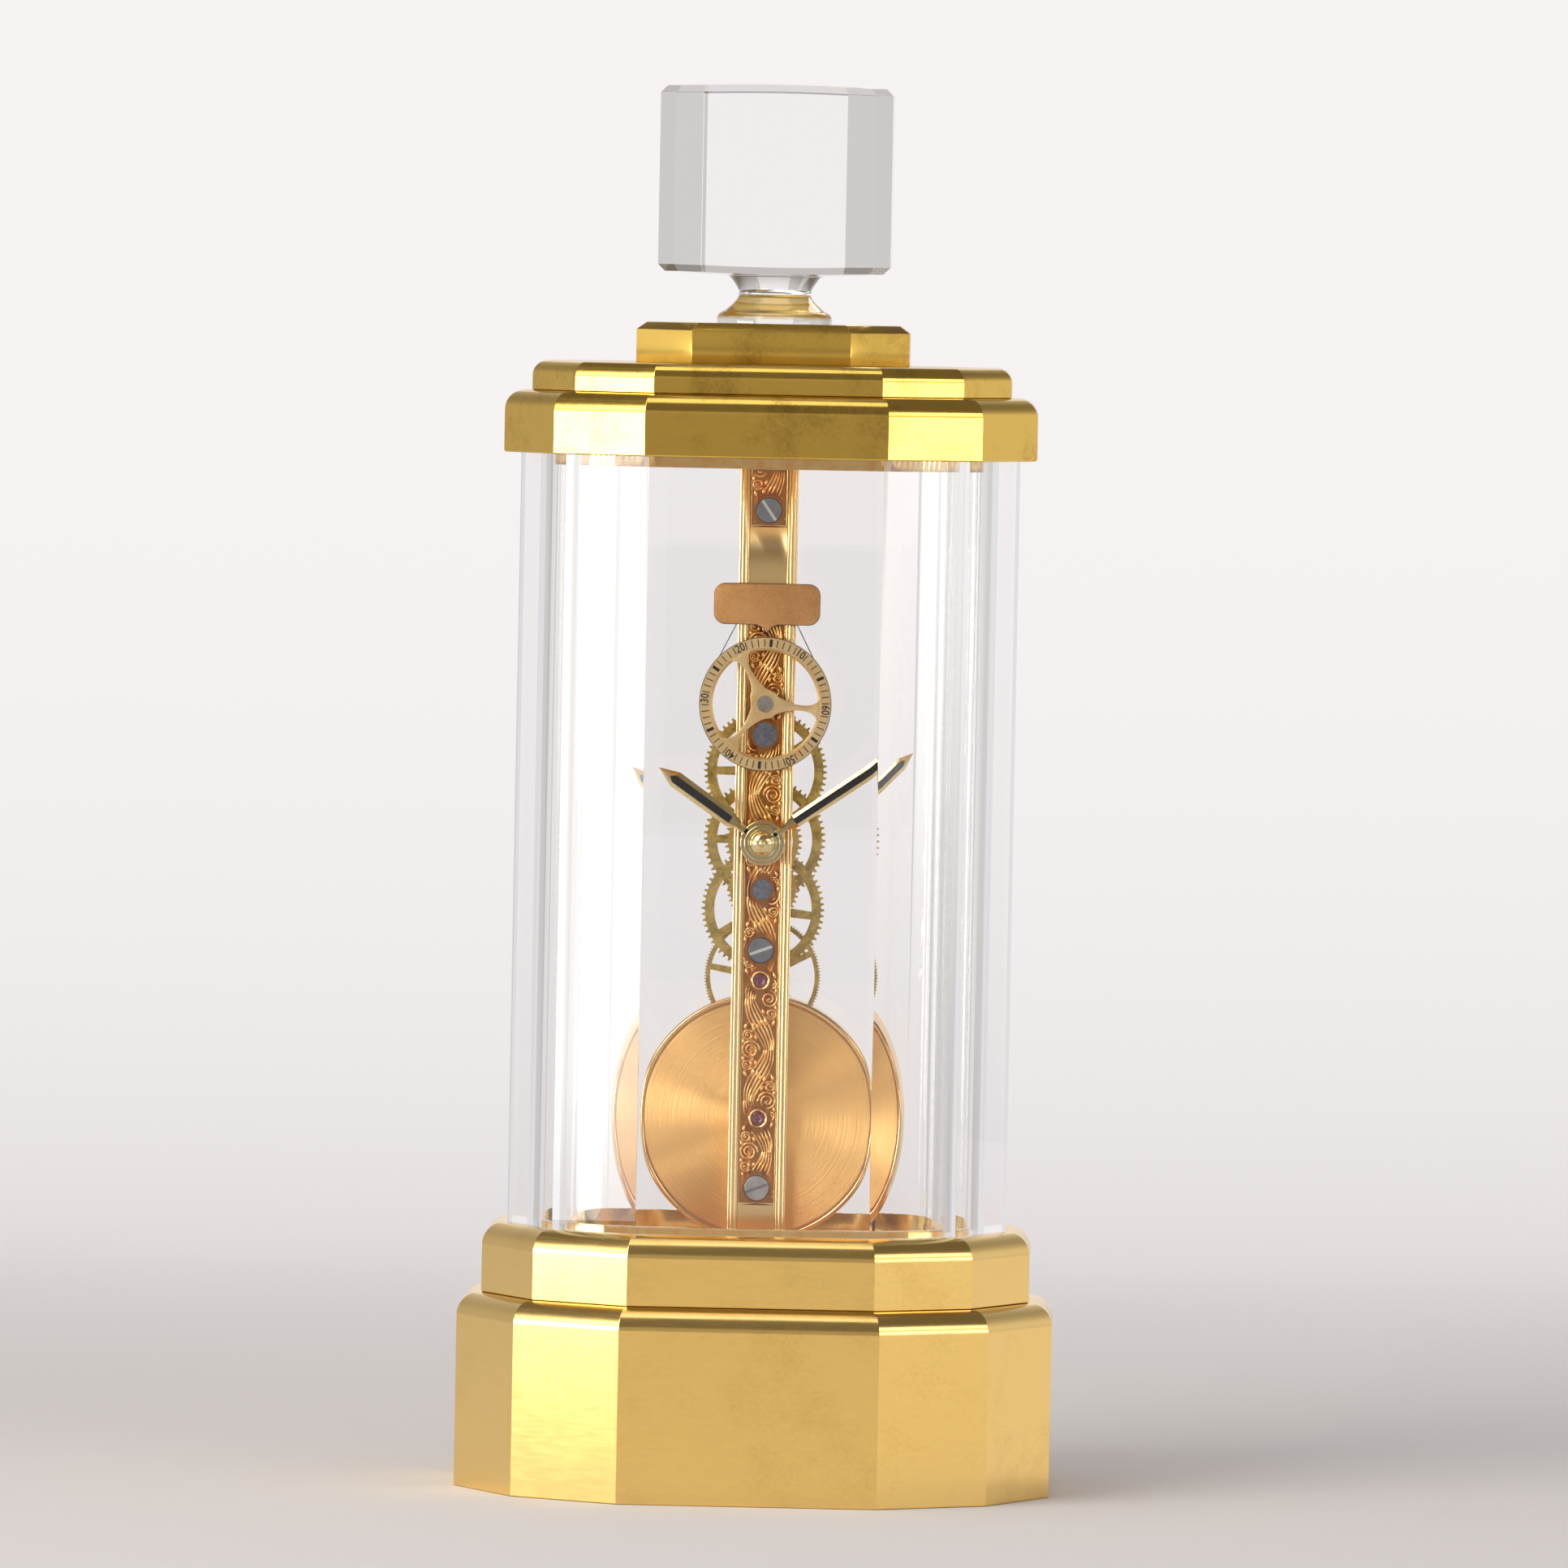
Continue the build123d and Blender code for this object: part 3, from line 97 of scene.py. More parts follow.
class Board:  # a node tree with one way of adding nodes
    def __init__(self, tree):
        self.tree = tree

    def feed(self, node, sockets):
        for key, value in sockets.items():
            if isinstance(value, Tap):
                self.tree.links.new(value.socket, node.inputs[key])
            else:
                node.inputs[key].default_value = value

    def node(self, kind, settings=None, sockets=None, outlet=0):
        made = self.tree.nodes.new(kind)
        for key, value in (settings or {}).items():
            setattr(made, key, value)
        self.feed(made, sockets or {})
        return Tap(self, made.outputs[outlet])

    def math(self, operation, first, second=0.5):
        return self.node("ShaderNodeMath", {"operation": operation}, {0: first, 1: second})

    def vector(self, operation, sockets, outlet=0):
        return self.node("ShaderNodeVectorMath", {"operation": operation}, sockets, outlet)

    def part(self, spot, axis):
        return self.node("ShaderNodeSeparateXYZ", {}, {"Vector": spot}, axis)

    def toWorld(self, direction):
        spaces = {"convert_from": "OBJECT", "convert_to": "WORLD"}
        return self.node("ShaderNodeVectorTransform", spaces, {"Vector": direction})

    def leaned(self, normal, tip):  # the normal tipped over by a small vector
        return self.vector("NORMALIZE", {0: self.vector("ADD", {0: normal, 1: tip})})

    def noise(self, spot, scale, detail=4.0, rough=0.55):
        sockets = {"Vector": spot, "Scale": scale, "Detail": detail, "Roughness": rough}
        return self.node("ShaderNodeTexNoise", {}, sockets)

    def spread(self, value, low, high):
        limits = {"Value": value, "From Min": low, "From Max": high}
        return self.node("ShaderNodeMapRange", {"interpolation_type": "SMOOTHSTEP"}, limits)

    def blend(self, share, first, second):
        return self.node("ShaderNodeMix", {"data_type": "RGBA"}, {0: share, 6: first, 7: second}, 2)

    def bump(self, height, depth, strength):
        return self.node("ShaderNodeBump", {}, {"Strength": strength, "Distance": depth, "Height": height})

    def glow(self, colour, strength=1.0):
        return self.node("ShaderNodeEmission", {}, {"Color": colour, "Strength": strength})

    def mixed(self, share, first, second):
        return self.node("ShaderNodeMixShader", {}, {0: share, 1: first, 2: second})

    def shown(self):  # one for what the camera, metal or glass sees, nought for scattered light
        kinds = ("Is Camera Ray", "Is Glossy Ray", "Is Transmission Ray")
        seen, glossy, through = [self.node("ShaderNodeLightPath", outlet=kind) for kind in kinds]
        return self.math("MAXIMUM", seen, self.math("MAXIMUM", glossy, through))

    def surface(self, tap):
        self.tree.links.new(tap.socket, self.tree.nodes["Material Output"].inputs[0])


def startFinish(name):
    material = bpy.data.materials.new(name)
    material.use_nodes = True
    board = Board(material.node_tree)
    shader = material.node_tree.nodes["Principled BSDF"]
    spot = board.node("ShaderNodeTexCoord", outlet="Object")
    return material, board, shader, spot


def rgb(red, green, blue):
    return (red, green, blue, 1.0)


def inMetres(sizes):
    return {key: value * mm for key, value in sizes.items()}


def shares(steps):  # evenly from nought to one
    return [s / steps for s in range(steps + 1)]


# finishes

def giltFinish(name, look):
    material, board, shader, spot = startFinish(name)
    cloud = board.noise(spot, look["cloud"], detail=6.0, rough=0.62)
    fleck = board.noise(spot, scale=1700.0, detail=3.0, rough=0.6)
    drawn = board.node("ShaderNodeMapping", {}, {"Vector": spot, "Scale": look["grain"]})
    grain = board.noise(drawn, scale=1.0, detail=3.0)
    stain = board.spread(cloud + (fleck - 0.5) * 0.35, low=0.46, high=0.78) * look["stain"]
    shader.inputs["Metallic"].default_value = 1.0
    board.feed(shader, {
        "Base Color": board.blend(stain, look["colour"], look["stained"]),
        "Roughness": look["rough"] + (cloud - 0.5) * 0.10 + (grain - 0.5) * 0.08,
        "Normal": board.bump(grain * 0.6 + fleck * 0.4, look["depth"] * mm, strength=0.5),
    })
    return material


def brushedDrum(name, look):  # fine rings round the drum's own axis tip the normal in and out
    material, board, shader, spot = startFinish(name)
    shifted = board.node("ShaderNodeMapping", {}, {"Vector": spot, "Location": (0.0, 0.0, -look["middle"])})
    flat = board.vector("MULTIPLY", {0: shifted, 1: (1.0, 0.0, 1.0)})
    radius = board.vector("LENGTH", {0: flat}, "Value")
    outward = board.toWorld(board.vector("NORMALIZE", {0: flat}))
    along = {"noise_dimensions": "1D"}
    hair = board.node("ShaderNodeTexWhiteNoise", along, {"W": radius * look["hair"]})
    hairTwo = board.node("ShaderNodeTexWhiteNoise", along, {"W": radius * look["hairTwo"] + look["apart"]})
    line = board.node("ShaderNodeTexNoise", along, {"W": radius, "Scale": look["lines"], "Detail": 3.0})
    tip = (hair + hairTwo - 1.0 + (line - 0.5) * look["lineTip"]) * look["tip"]
    straight = board.node("ShaderNodeNewGeometry", outlet="Normal")
    cloud = board.noise(spot, look["cloud"], detail=5.0)
    fleck = board.spread(board.noise(spot, look["fleck"], detail=2.0), low=0.70, high=0.78)
    stain = fleck * look["fleckStain"] + (cloud - 0.4) * look["cloudStain"] + (line - 0.5) * look["lineStain"]
    shader.inputs["Metallic"].default_value = 1.0
    board.feed(shader, {
        "Base Color": board.blend(stain, look["colour"], look["stained"]),
        "Roughness": look["rough"] + (cloud - 0.5) * look["cloudDull"],
        "Normal": board.leaned(straight, board.vector("SCALE", {0: outward, "Scale": tip})),
    })
    return material


def engravedGilt(name, look):  # moulded bright borders; the punched ground inside the sunk band is painted darker, partly for its matt finish and partly as painted shade, and the cut lines are painted shade
    material, board, shader, spot = startFinish(name)
    side, depth, up = [board.part(spot, axis) for axis in range(3)]
    across = board.math("ABSOLUTE", side)
    spans = [(up > low * mm) * (up < high * mm) for low, high in look["spans"]]
    ground = (across < look["bandHalf"]) * (depth < look["front"] + look["sunkDeep"]) * (spans[0] + spans[1])
    punch = board.noise(spot, look["punch"], detail=2.0, rough=0.7)
    cloud = board.noise(spot, look["cloud"], detail=5.0)
    slope, line = 0.0, 0.0
    for start, end in look["ridges"]:  # half-round mouldings along the borders, with a cut line between, painted dark as painted shade
        middle, half = (start + end) / 2, (end - start) / 2
        slope = slope + (across > start) * (across < end) * ((across - middle) / half) * look["swell"]
        line = line + (across > start - look["line"]) * (across < start + look["line"])
    plain = board.blend((cloud - 0.35) * look["warmth"], look["colour"], look["warm"])
    # painted shade, in part: the sunk ground takes tones far darker than the gilt, for its matt finish and
    # for shade in the recess
    sunk = board.blend(punch, look["ground"], look["groundShadeLight"])
    outward = board.toWorld((1.0, 0.0, 0.0))
    tipped = board.vector("SCALE", {0: outward, "Scale": slope * board.math("SIGN", side)})
    straight = board.bump(punch * ground - line * look["lineDeep"], look["depth"], strength=0.8)
    # painted shade: the cut lines are darkened towards their own dark tone
    shader.inputs["Metallic"].default_value = 1.0
    board.feed(shader, {
        "Base Color": board.blend(line * look["dark"], board.blend(ground, plain, sunk), look["cutLineShade"]),
        "Roughness": look["rough"] + ground * look["groundDull"] + (cloud - 0.5) * look["cloudDull"],
        "Normal": board.leaned(straight, tipped),
    })
    return material


def grainMetal(name, look):
    colour, stained, cloudSize, grainSize, rough, depth = look
    material, board, shader, spot = startFinish(name)
    cloud = board.noise(spot, cloudSize, detail=5.0, rough=0.6)
    grain = board.noise(spot, grainSize, detail=3.0, rough=0.6)
    stain = board.spread(cloud * 0.6 + grain * 0.4, low=0.38, high=0.66)
    shader.inputs["Metallic"].default_value = 1.0
    board.feed(shader, {
        "Base Color": board.blend(stain, rgb(*colour), rgb(*stained)),
        "Roughness": rough * (0.6 + grain * 0.8),
        "Normal": board.bump(grain, depth * mm, strength=0.6),
    })
    return material


def clearCrystal(name, look):
    material, board, shader, spot = startFinish(name)
    smear = board.spread(board.noise(spot, scale=45.0, detail=5.0, rough=0.65), low=0.60, high=0.85)
    wave = board.noise(spot, scale=30.0, detail=1.0)
    shader.inputs["Transmission Weight"].default_value = 1.0
    shader.inputs["IOR"].default_value = look["ior"]
    shader.inputs["Base Color"].default_value = look["colour"]
    board.feed(shader, {
        "Roughness": smear * look["smear"],
        "Normal": board.bump(wave, depth=0.002 * mm, strength=0.3),
    })
    wandered = board.node("ShaderNodeLightPath", outlet="Ray Depth") > look["deep"]  # inside for too long
    bounced = board.node("ShaderNodeLightPath", outlet="Glossy Depth") > look["bounced"]
    deep = board.math("MAXIMUM", wandered, bounced)
    # painted light: a ray that stays too long in the glass, or bounces too often, ends on a flat painted glow
    # instead of the light it would carry
    board.surface(board.mixed(deep, Tap(board, shader.outputs[0]), board.glow(look["deepTone"])))
    return material


def rubyFinish(name, look):
    material, board, shader, spot = startFinish(name)
    cloud = board.noise(spot, look["cloud"], detail=3.0)
    shader.inputs["IOR"].default_value = look["ior"]
    shader.inputs["Coat Roughness"].default_value = look["coatRough"]
    board.feed(shader, {
        "Base Color": board.blend(cloud, look["colour"], look["lighter"]),
        "Roughness": look["rough"] + cloud * look["cloudDull"],
        "Coat Weight": look["coat"] + cloud * look["cloudCoat"],
    })
    return material


def paintFinish(name, look):
    colour, stained, cloudSize, grainSize, rough = look
    material, board, shader, spot = startFinish(name)
    cloud = board.noise(spot, cloudSize, detail=5.0)
    grain = board.noise(spot, grainSize, detail=2.0)
    board.feed(shader, {
        "Base Color": board.blend(cloud, rgb(*colour), rgb(*stained)),
        "Roughness": rough + (grain - 0.5) * 0.2,
        "Normal": board.bump(grain, depth=0.02 * mm, strength=0.4),
    })
    return material


drumMiddle = (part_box("motor_can")[0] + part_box("motor_can")[1]).z / 2
bridgeLow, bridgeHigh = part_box("bridge")
bandHalf = 3.4 * mm
engraved = {"low": 51.4, "panelLow": 160.2, "panelHigh": 171.8, "topGap": 0.3}  # heights of what is engraved
engravedSpans = ((engraved["low"], engraved["panelLow"]),
                 (engraved["panelHigh"], bridgeHigh.z / mm - engraved["topGap"]))

giltLooks = {
    "case_gilt": {"colour": rgb(0.97, 0.69, 0.25), "stained": rgb(0.64, 0.39, 0.09), "stain": 0.30,
                  "cloud": 55.0, "grain": (240.0, 240.0, 1500.0), "rough": 0.20, "depth": 0.012},
    "cap_gilt": {"colour": rgb(0.92, 0.62, 0.135), "stained": rgb(0.44, 0.26, 0.045), "stain": 0.65,
                 "cloud": 90.0, "grain": (400.0, 400.0, 900.0), "rough": 0.17, "depth": 0.010},
}
# the last colour of each glass is a painted glow for rays cut off deep inside it
glassLooks = {
    "crystal": {"ior": 1.545, "colour": rgb(0.997, 0.997, 1.0), "smear": 0.03,
                "deep": 8.5, "bounced": 2.5, "deepTone": rgb(0.75, 0.745, 0.765)},
    "crystal_solid": {"ior": 1.545, "colour": rgb(0.99, 0.99, 0.99), "smear": 0.03,
                      "deep": 8.5, "bounced": 2.5, "deepTone": rgb(0.40, 0.40, 0.43)},
}
metalLooks = {  # colour, stained colour, cloud and grain scale, roughness, grain depth in millimetres
    "rim_rose": ((0.96, 0.66, 0.32), (0.84, 0.50, 0.20), 200.0, 1800.0, 0.16, 0.01),
    "scroll_gilt": ((1.0, 0.74, 0.33), (0.95, 0.50, 0.13), 400.0, 3000.0, 0.15, 0.01),
    "wheel_brass": ((0.84, 0.62, 0.20), (0.46, 0.32, 0.07), 500.0, 2600.0, 0.40, 0.03),
    "motion_gilt": ((0.95, 0.66, 0.22), (0.70, 0.44, 0.10), 300.0, 2200.0, 0.28, 0.02),
    "ring_gilt": ((1.0, 0.76, 0.40), (0.94, 0.64, 0.28), 250.0, 2400.0, 0.46, 0.02),
    "plate_rose": ((0.86, 0.47, 0.19), (0.74, 0.38, 0.14), 200.0, 3200.0, 0.50, 0.015),
    "hand_gilt": ((0.93, 0.78, 0.42), (0.80, 0.62, 0.28), 150.0, 900.0, 0.10, 0.002),
    "arbor_steel": ((0.62, 0.60, 0.56), (0.45, 0.43, 0.38), 600.0, 2600.0, 0.25, 0.01),
    "screw_steel": ((0.33, 0.34, 0.38), (0.24, 0.25, 0.29), 500.0, 3600.0, 0.34, 0.02),
    "pale_steel": ((0.60, 0.60, 0.60), (0.46, 0.46, 0.46), 500.0, 3600.0, 0.34, 0.02),
    # a painted highlight for the screw slots
    "slot_steel": ((0.90, 0.88, 0.86), (0.78, 0.76, 0.74), 500.0, 3600.0, 0.45, 0.01),
    "stud_steel": ((0.30, 0.31, 0.36), (0.16, 0.17, 0.21), 1500.0, 4200.0, 0.36, 0.06),
    "guard_wire": ((0.20, 0.19, 0.18), (0.12, 0.11, 0.11), 500.0, 2600.0, 0.35, 0.01),
    "copper": ((0.80, 0.36, 0.18), (0.55, 0.22, 0.10), 700.0, 5000.0, 0.32, 0.05),
}
paintLooks = {  # colour, stained colour, cloud and grain scale, roughness
    "black_inlay": ((0.010, 0.010, 0.012), (0.03, 0.03, 0.035), 900.0, 3000.0, 0.38),
    "black_plastic": ((0.040, 0.040, 0.043), (0.062, 0.062, 0.065), 200.0, 2500.0, 0.5),
    "board_green": ((0.02, 0.14, 0.06), (0.03, 0.20, 0.09), 300.0, 2000.0, 0.35),
    "cell_sleeve": ((0.30, 0.30, 0.32), (0.38, 0.38, 0.40), 100.0, 1500.0, 0.3),
    "wire_sleeve": ((0.25, 0.02, 0.02), (0.36, 0.04, 0.03), 300.0, 2500.0, 0.4),
}
drumLook = {"middle": drumMiddle, "lines": 4500.0, "hair": 400000.0, "hairTwo": 170000.0, "apart": 9.0,
            "cloud": 120.0, "fleck": 900.0, "rough": 0.30, "cloudDull": 0.08, "tip": 0.80, "lineTip": 0.8,
            "fleckStain": 0.5, "cloudStain": 0.3, "lineStain": 0.55,
            "colour": rgb(1.0, 0.60, 0.22), "stained": rgb(0.72, 0.37, 0.10)}
bridgeLook = {
    "bandHalf": bandHalf * 0.995, "front": bridgeLow.y, "sunkDeep": 0.9 * mm, "spans": engravedSpans,
    "swell": 0.7, "line": 0.07 * mm, "lineDeep": 0.8, "dark": 0.7, "warmth": 0.6, "depth": 0.06 * mm,
    "punch": 4200.0, "cloud": 160.0, "rough": 0.22, "groundDull": 0.08, "cloudDull": 0.1,
    "ridges": ((3.42 * mm, 3.95 * mm), (3.95 * mm, 4.7 * mm), (4.7 * mm, 5.16 * mm)),
    # painted shade: the cut lines' tone; the sunk ground's tones are partly matt finish, partly painted shade
    "cutLineShade": rgb(0.42, 0.17, 0.04), "colour": rgb(1.0, 0.76, 0.38), "warm": rgb(0.98, 0.62, 0.22),
    "ground": rgb(0.25, 0.08, 0.014), "groundShadeLight": rgb(0.66, 0.29, 0.06),
}
rubyLook = {"ior": 1.76, "cloud": 2600.0, "rough": 0.06, "cloudDull": 0.06, "coat": 0.15, "cloudCoat": 0.25,
            "coatRough": 0.03, "colour": rgb(0.14, 0.002, 0.03), "lighter": rgb(0.34, 0.008, 0.075)}
finishes = {
    "ruby": rubyFinish("ruby", rubyLook),
    "drum_rose": brushedDrum("drum_rose", drumLook),
    "movement_gilt": engravedGilt("movement_gilt", bridgeLook),
}
for makeFinish, looks in ((giltFinish, giltLooks), (clearCrystal, glassLooks),
                          (grainMetal, metalLooks), (paintFinish, paintLooks)):
    for finishName, finishLook in looks.items():
        finishes[finishName] = makeFinish(finishName, finishLook)
print("finishes made:", len(bpy.data.materials))


# mesh helpers

def placeObject(name, data):
    placed = bpy.data.objects.new(name, data)
    bpy.context.scene.collection.objects.link(placed)
    return placed


def makePiece(name, verts, faces, material, cornerNormals=None):
    mesh = bpy.data.meshes.new(name)
    mesh.from_pydata(verts, [], faces)
    mesh.materials.append(material)
    mesh.shade_smooth()
    if cornerNormals:
        mesh.normals_split_custom_set(cornerNormals)
    return placeObject(name, mesh)


def pieceFrom(work, mesh, material, angle):  # fills the mesh from the bench and keeps the sharper edges
    work.to_mesh(mesh)
    work.free()
    mesh.materials.clear()
    mesh.materials.append(material)
    mesh.shade_smooth()
    mesh.set_sharp_from_angle(angle=math.radians(angle))
    return placeObject(mesh.name, mesh)


def faceOutward(piece):
    work = bmesh.new()
    work.from_mesh(piece.data)
    bmesh.ops.recalc_face_normals(work, faces=work.faces)
    work.to_mesh(piece.data)
    work.free()
    return piece


def settle(piece, body, slot, *nodes):
    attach(piece, body)
    if nodes:
        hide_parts(*nodes)


def loft(name, rings, material, loop=False):
    # a ring is (points, normals towards the ring before, normals towards the ring after)
    count = len(rings[0][0])
    verts = [point for ring in rings for point in ring[0]]
    faces, normals = [], []
    spans = len(rings) if loop else len(rings) - 1
    for i in range(spans):
        k = (i + 1) % len(rings)
        for j in range(count):
            n = (j + 1) % count
            faces.append((i * count + j, i * count + n, k * count + n, k * count + j))
            normals += [rings[i][2][j], rings[i][2][n], rings[k][1][n], rings[k][1][j]]
    if not loop:
        faces.append(tuple(reversed(range(count))))
        normals += [rings[0][1][j] for j in reversed(range(count))]
        last = (len(rings) - 1) * count
        faces.append(tuple(range(last, last + count)))
        normals += list(rings[-1][2])
    return makePiece(name, verts, faces, material, normals)


def planRing(apothem, halfStretchX, halfStretchY, soft, flats=1, arcSteps=4):
    # twelve facets pulled apart; each corner is a small arc that leaves the flats flat
    def reach(angle):
        return apothem - soft + abs(math.cos(angle)) * halfStretchX + abs(math.sin(angle)) * halfStretchY

    facets = 12
    step = 2 * math.pi / facets
    corners = []
    for k in range(facets):
        a, b = k * step, (k + 1) * step
        x = (reach(a) * math.sin(b) - reach(b) * math.sin(a)) / math.sin(step)
        y = (reach(b) * math.cos(a) - reach(a) * math.cos(b)) / math.sin(step)
        arc = [a + step * s / arcSteps for s in range(arcSteps + 1)]
        corners.append([(x + soft * math.cos(t), y + soft * math.sin(t), t) for t in arc])
    ring = []
    for k in range(facets):
        ring += corners[k]
        end, start = corners[k][-1], corners[(k + 1) % facets][0]
        for s in range(1, flats):
            share = s / flats
            ring.append((end[0] + (start[0] - end[0]) * share, end[1] + (start[1] - end[1]) * share, end[2]))
    return ring


def tiltedNormals(ring, tilt):
    across, up = math.cos(tilt), math.sin(tilt)
    return [(across * math.cos(t), across * math.sin(t), up) for x, y, t in ring]


def tierRings(profile, halfStretch, soft):  # profile rows: apothem, height, tilt before, tilt after
    rings = []
    for apothem, z, *tilts in profile:
        ring = planRing(apothem, halfStretch, 0.0, soft)
        points = [(x, y, z) for x, y, t in ring]
        rings.append((points, *[tiltedNormals(ring, math.radians(tilt)) for tilt in tilts]))
    return rings


def roundOver(outer, top, radius, steps=10):  # the rounded upper edge of a tier
    rows = []
    for s in range(steps + 1):
        tilt = 90.0 * s / steps
        a = math.radians(tilt)
        rows.append((outer - radius + radius * math.cos(a), top - radius + radius * math.sin(a), tilt, tilt))
    return rows


def lathe(name, profile, middle, material, steps, loop=False, across=0.0):
    # profile rows: radius, reach towards the front, tilt before, tilt after; the axis lies along Y
    rings = []
    turn = [2 * math.pi * s / steps for s in range(steps)]
    for radius, front, *tilts in profile:
        points = [(across + radius * math.cos(a), -front, middle + radius * math.sin(a)) for a in turn]
        both = []
        for tilt in map(math.radians, tilts):
            flat, out = math.cos(tilt), -math.sin(tilt)
            both.append([(flat * math.cos(a), out, flat * math.sin(a)) for a in turn])
        rings.append((points, *both))
    return loft(name, rings, material, loop)


def joinPieces(pieces, name):
    for other in bpy.context.scene.objects:
        other.select_set(other in pieces)
    bpy.context.view_layer.objects.active = pieces[0]
    bpy.ops.object.join()
    pieces[0].name = name
    pieces[0].select_set(False)
    return pieces[0]


def smoothCopy(node, name, material, angle=32.0):  # a CAD shape with its loose triangles merged and shaded
    mesh = frame["nodes"][node].data.copy()
    mesh.name = name
    work = bmesh.new()
    work.from_mesh(mesh)
    bmesh.ops.remove_doubles(work, verts=work.verts, dist=0.0005 * mm)
    return pieceFrom(work, mesh, material, angle)


def bevelPlate(name, outline, front, back, edge, material):  # a flat part cut from sheet, front edge bevelled
    work = bmesh.new()
    rim = [work.verts.new((x, back, z)) for x, z in outline]
    face = work.faces.new(rim)
    grown = bmesh.ops.extrude_face_region(work, geom=[face])
    top = [v for v in grown["geom"] if isinstance(v, bmesh.types.BMVert)]
    bmesh.ops.translate(work, verts=top, vec=(0.0, front - back, 0.0))
    bmesh.ops.recalc_face_normals(work, faces=work.faces)
    lip = [e for e in work.edges if all(abs(v.co.y - front) < 1e-9 for v in e.verts)]
    bmesh.ops.bevel(work, geom=lip, offset=edge, segments=2, profile=0.5, affect="EDGES")
    return pieceFrom(work, bpy.data.meshes.new(name), material, angle=30.0)


def tubeAlong(name, points, radius, material, sides=8):  # a closed round wire
    verts, faces = [], []
    count = len(points)
    depth = Vector((0.0, 1.0, 0.0))
    for i in range(count):
        ahead = (Vector(points[(i + 1) % count]) - Vector(points[i - 1])).normalized()
        out = ahead.cross(depth).normalized()
        for s in range(sides):
            a = 2 * math.pi * s / sides
            verts.append(Vector(points[i]) + out * radius * math.cos(a) + depth * radius * math.sin(a))
    for i in range(count):
        n = (i + 1) % count
        for s in range(sides):
            m = (s + 1) % sides
            faces.append((i * sides + s, n * sides + s, n * sides + m, i * sides + m))
    return faceOutward(makePiece(name, verts, faces, material))


def growTree(name, sizes):  # an empty geometry tree with its inputs
    tree = bpy.data.node_groups.new(name, "GeometryNodeTree")
    for way in ("INPUT", "OUTPUT"):
        tree.interface.new_socket("Geometry", in_out=way, socket_type="NodeSocketGeometry")
    keys = {}
    for size, value in sizes.items():
        socket = tree.interface.new_socket(size, in_out="INPUT", socket_type="NodeSocketFloat")
        socket.default_value = value
        keys[size] = socket.identifier
    board = Board(tree)
    inputs = tree.nodes.new("NodeGroupInput").outputs
    return board, {socket.name: Tap(board, socket) for socket in inputs if socket.name}, keys


def closeTree(board, geometry, material):
    real = board.node("GeometryNodeRealizeInstances", {}, {"Geometry": geometry})
    done = board.node("GeometryNodeSetMaterial", {}, {"Geometry": real, "Material": material})
    board.tree.links.new(done.socket, board.tree.nodes.new("NodeGroupOutput").inputs[0])


def bakedMesh(source):  # the plain mesh that an object comes to, after which the object goes
    bpy.context.view_layer.update()
    graph = bpy.context.evaluated_depsgraph_get()
    mesh = bpy.data.meshes.new_from_object(source.evaluated_get(graph), depsgraph=graph)
    bpy.data.objects.remove(source)
    return mesh


def bakeTree(source, board, settings, name):  # runs the tree on an object and keeps the plain mesh
    modifier = source.modifiers.new(name, "NODES")
    modifier.node_group = board.tree
    for identifier, value in settings.items():
        modifier[identifier] = value
    mesh = bakedMesh(source)
    mesh.name = name
    return placeObject(name, mesh)


crystal = {"cornerSoft": 0.3, "hollowCorner": 17.5, "hollowCrown": 1.2, "wallX": 8.3, "wallY": 9.4,
           "gap": 0.03}


def hollowOutline(halfX, halfY, steps=60):
    # quarter of the oval as (x, y, normal), closely spaced; ovalRing mirrors it
    corner, crown = crystal["hollowCorner"] * mm, crystal["hollowCrown"] * mm
    bigR = (halfX * halfX + crown * crown) / (2 * crown)  # crowned long side
    midY = halfY - bigR
    cx = halfX - corner
    reachY = math.sqrt((bigR - corner) ** 2 - cx * cx) + midY  # corner arc centre touches the crowned side
    meet = math.atan2(cx, reachY - midY)
    quarter = [(halfX, reachY * s / steps, 0.0) for s in range(steps)]
    for s in range(steps + 1):
        t = (math.pi / 2 - meet) * s / steps
        quarter.append((cx + corner * math.cos(t), reachY + corner * math.sin(t), t))
    for s in range(1, steps + 1):
        t = math.pi / 2 - meet + meet * s / steps
        quarter.append((bigR * math.cos(t), midY + bigR * math.sin(t), t))
    return quarter


def ovalRing(quarter, angles):  # the oval's point in each of the wanted directions
    table = [(math.atan2(y, x), x, y, t) for x, y, t in quarter]
    ring = []
    for angle in angles:
        a = math.atan2(abs(math.sin(angle)), abs(math.cos(angle)))
        k = 0
        while k < len(table) - 2 and table[k + 1][0] < a:
            k += 1
        share = (a - table[k][0]) / max(1e-12, table[k + 1][0] - table[k][0])
        share = min(1.0, max(0.0, share))
        x = table[k][1] + (table[k + 1][1] - table[k][1]) * share
        y = table[k][2] + (table[k + 1][2] - table[k][2]) * share
        t = table[k][3] + (table[k + 1][3] - table[k][3]) * share
        sx, sy = math.copysign(1, math.cos(angle)), math.copysign(1, math.sin(angle))
        ring.append((sx * x, sy * y, sx * math.cos(t), sy * math.sin(t)))
    return ring


# gilt tiers of the base and the cap

tiers = {
    "base_plinth": {"finish": "case_gilt", "round": 4.0, "wall": 4.6, "roof": 4.5},
    "base_step": {"finish": "case_gilt", "round": 4.0, "pocket": 6.5},
    "cap_lower": {"finish": "cap_gilt", "round": 3.4},
    "cap_middle": {"finish": "cap_gilt", "round": 2.6},
}
tierEdges = {"cornerSoft": 0.22, "foot": 0.25, "pocketGap": 0.02}


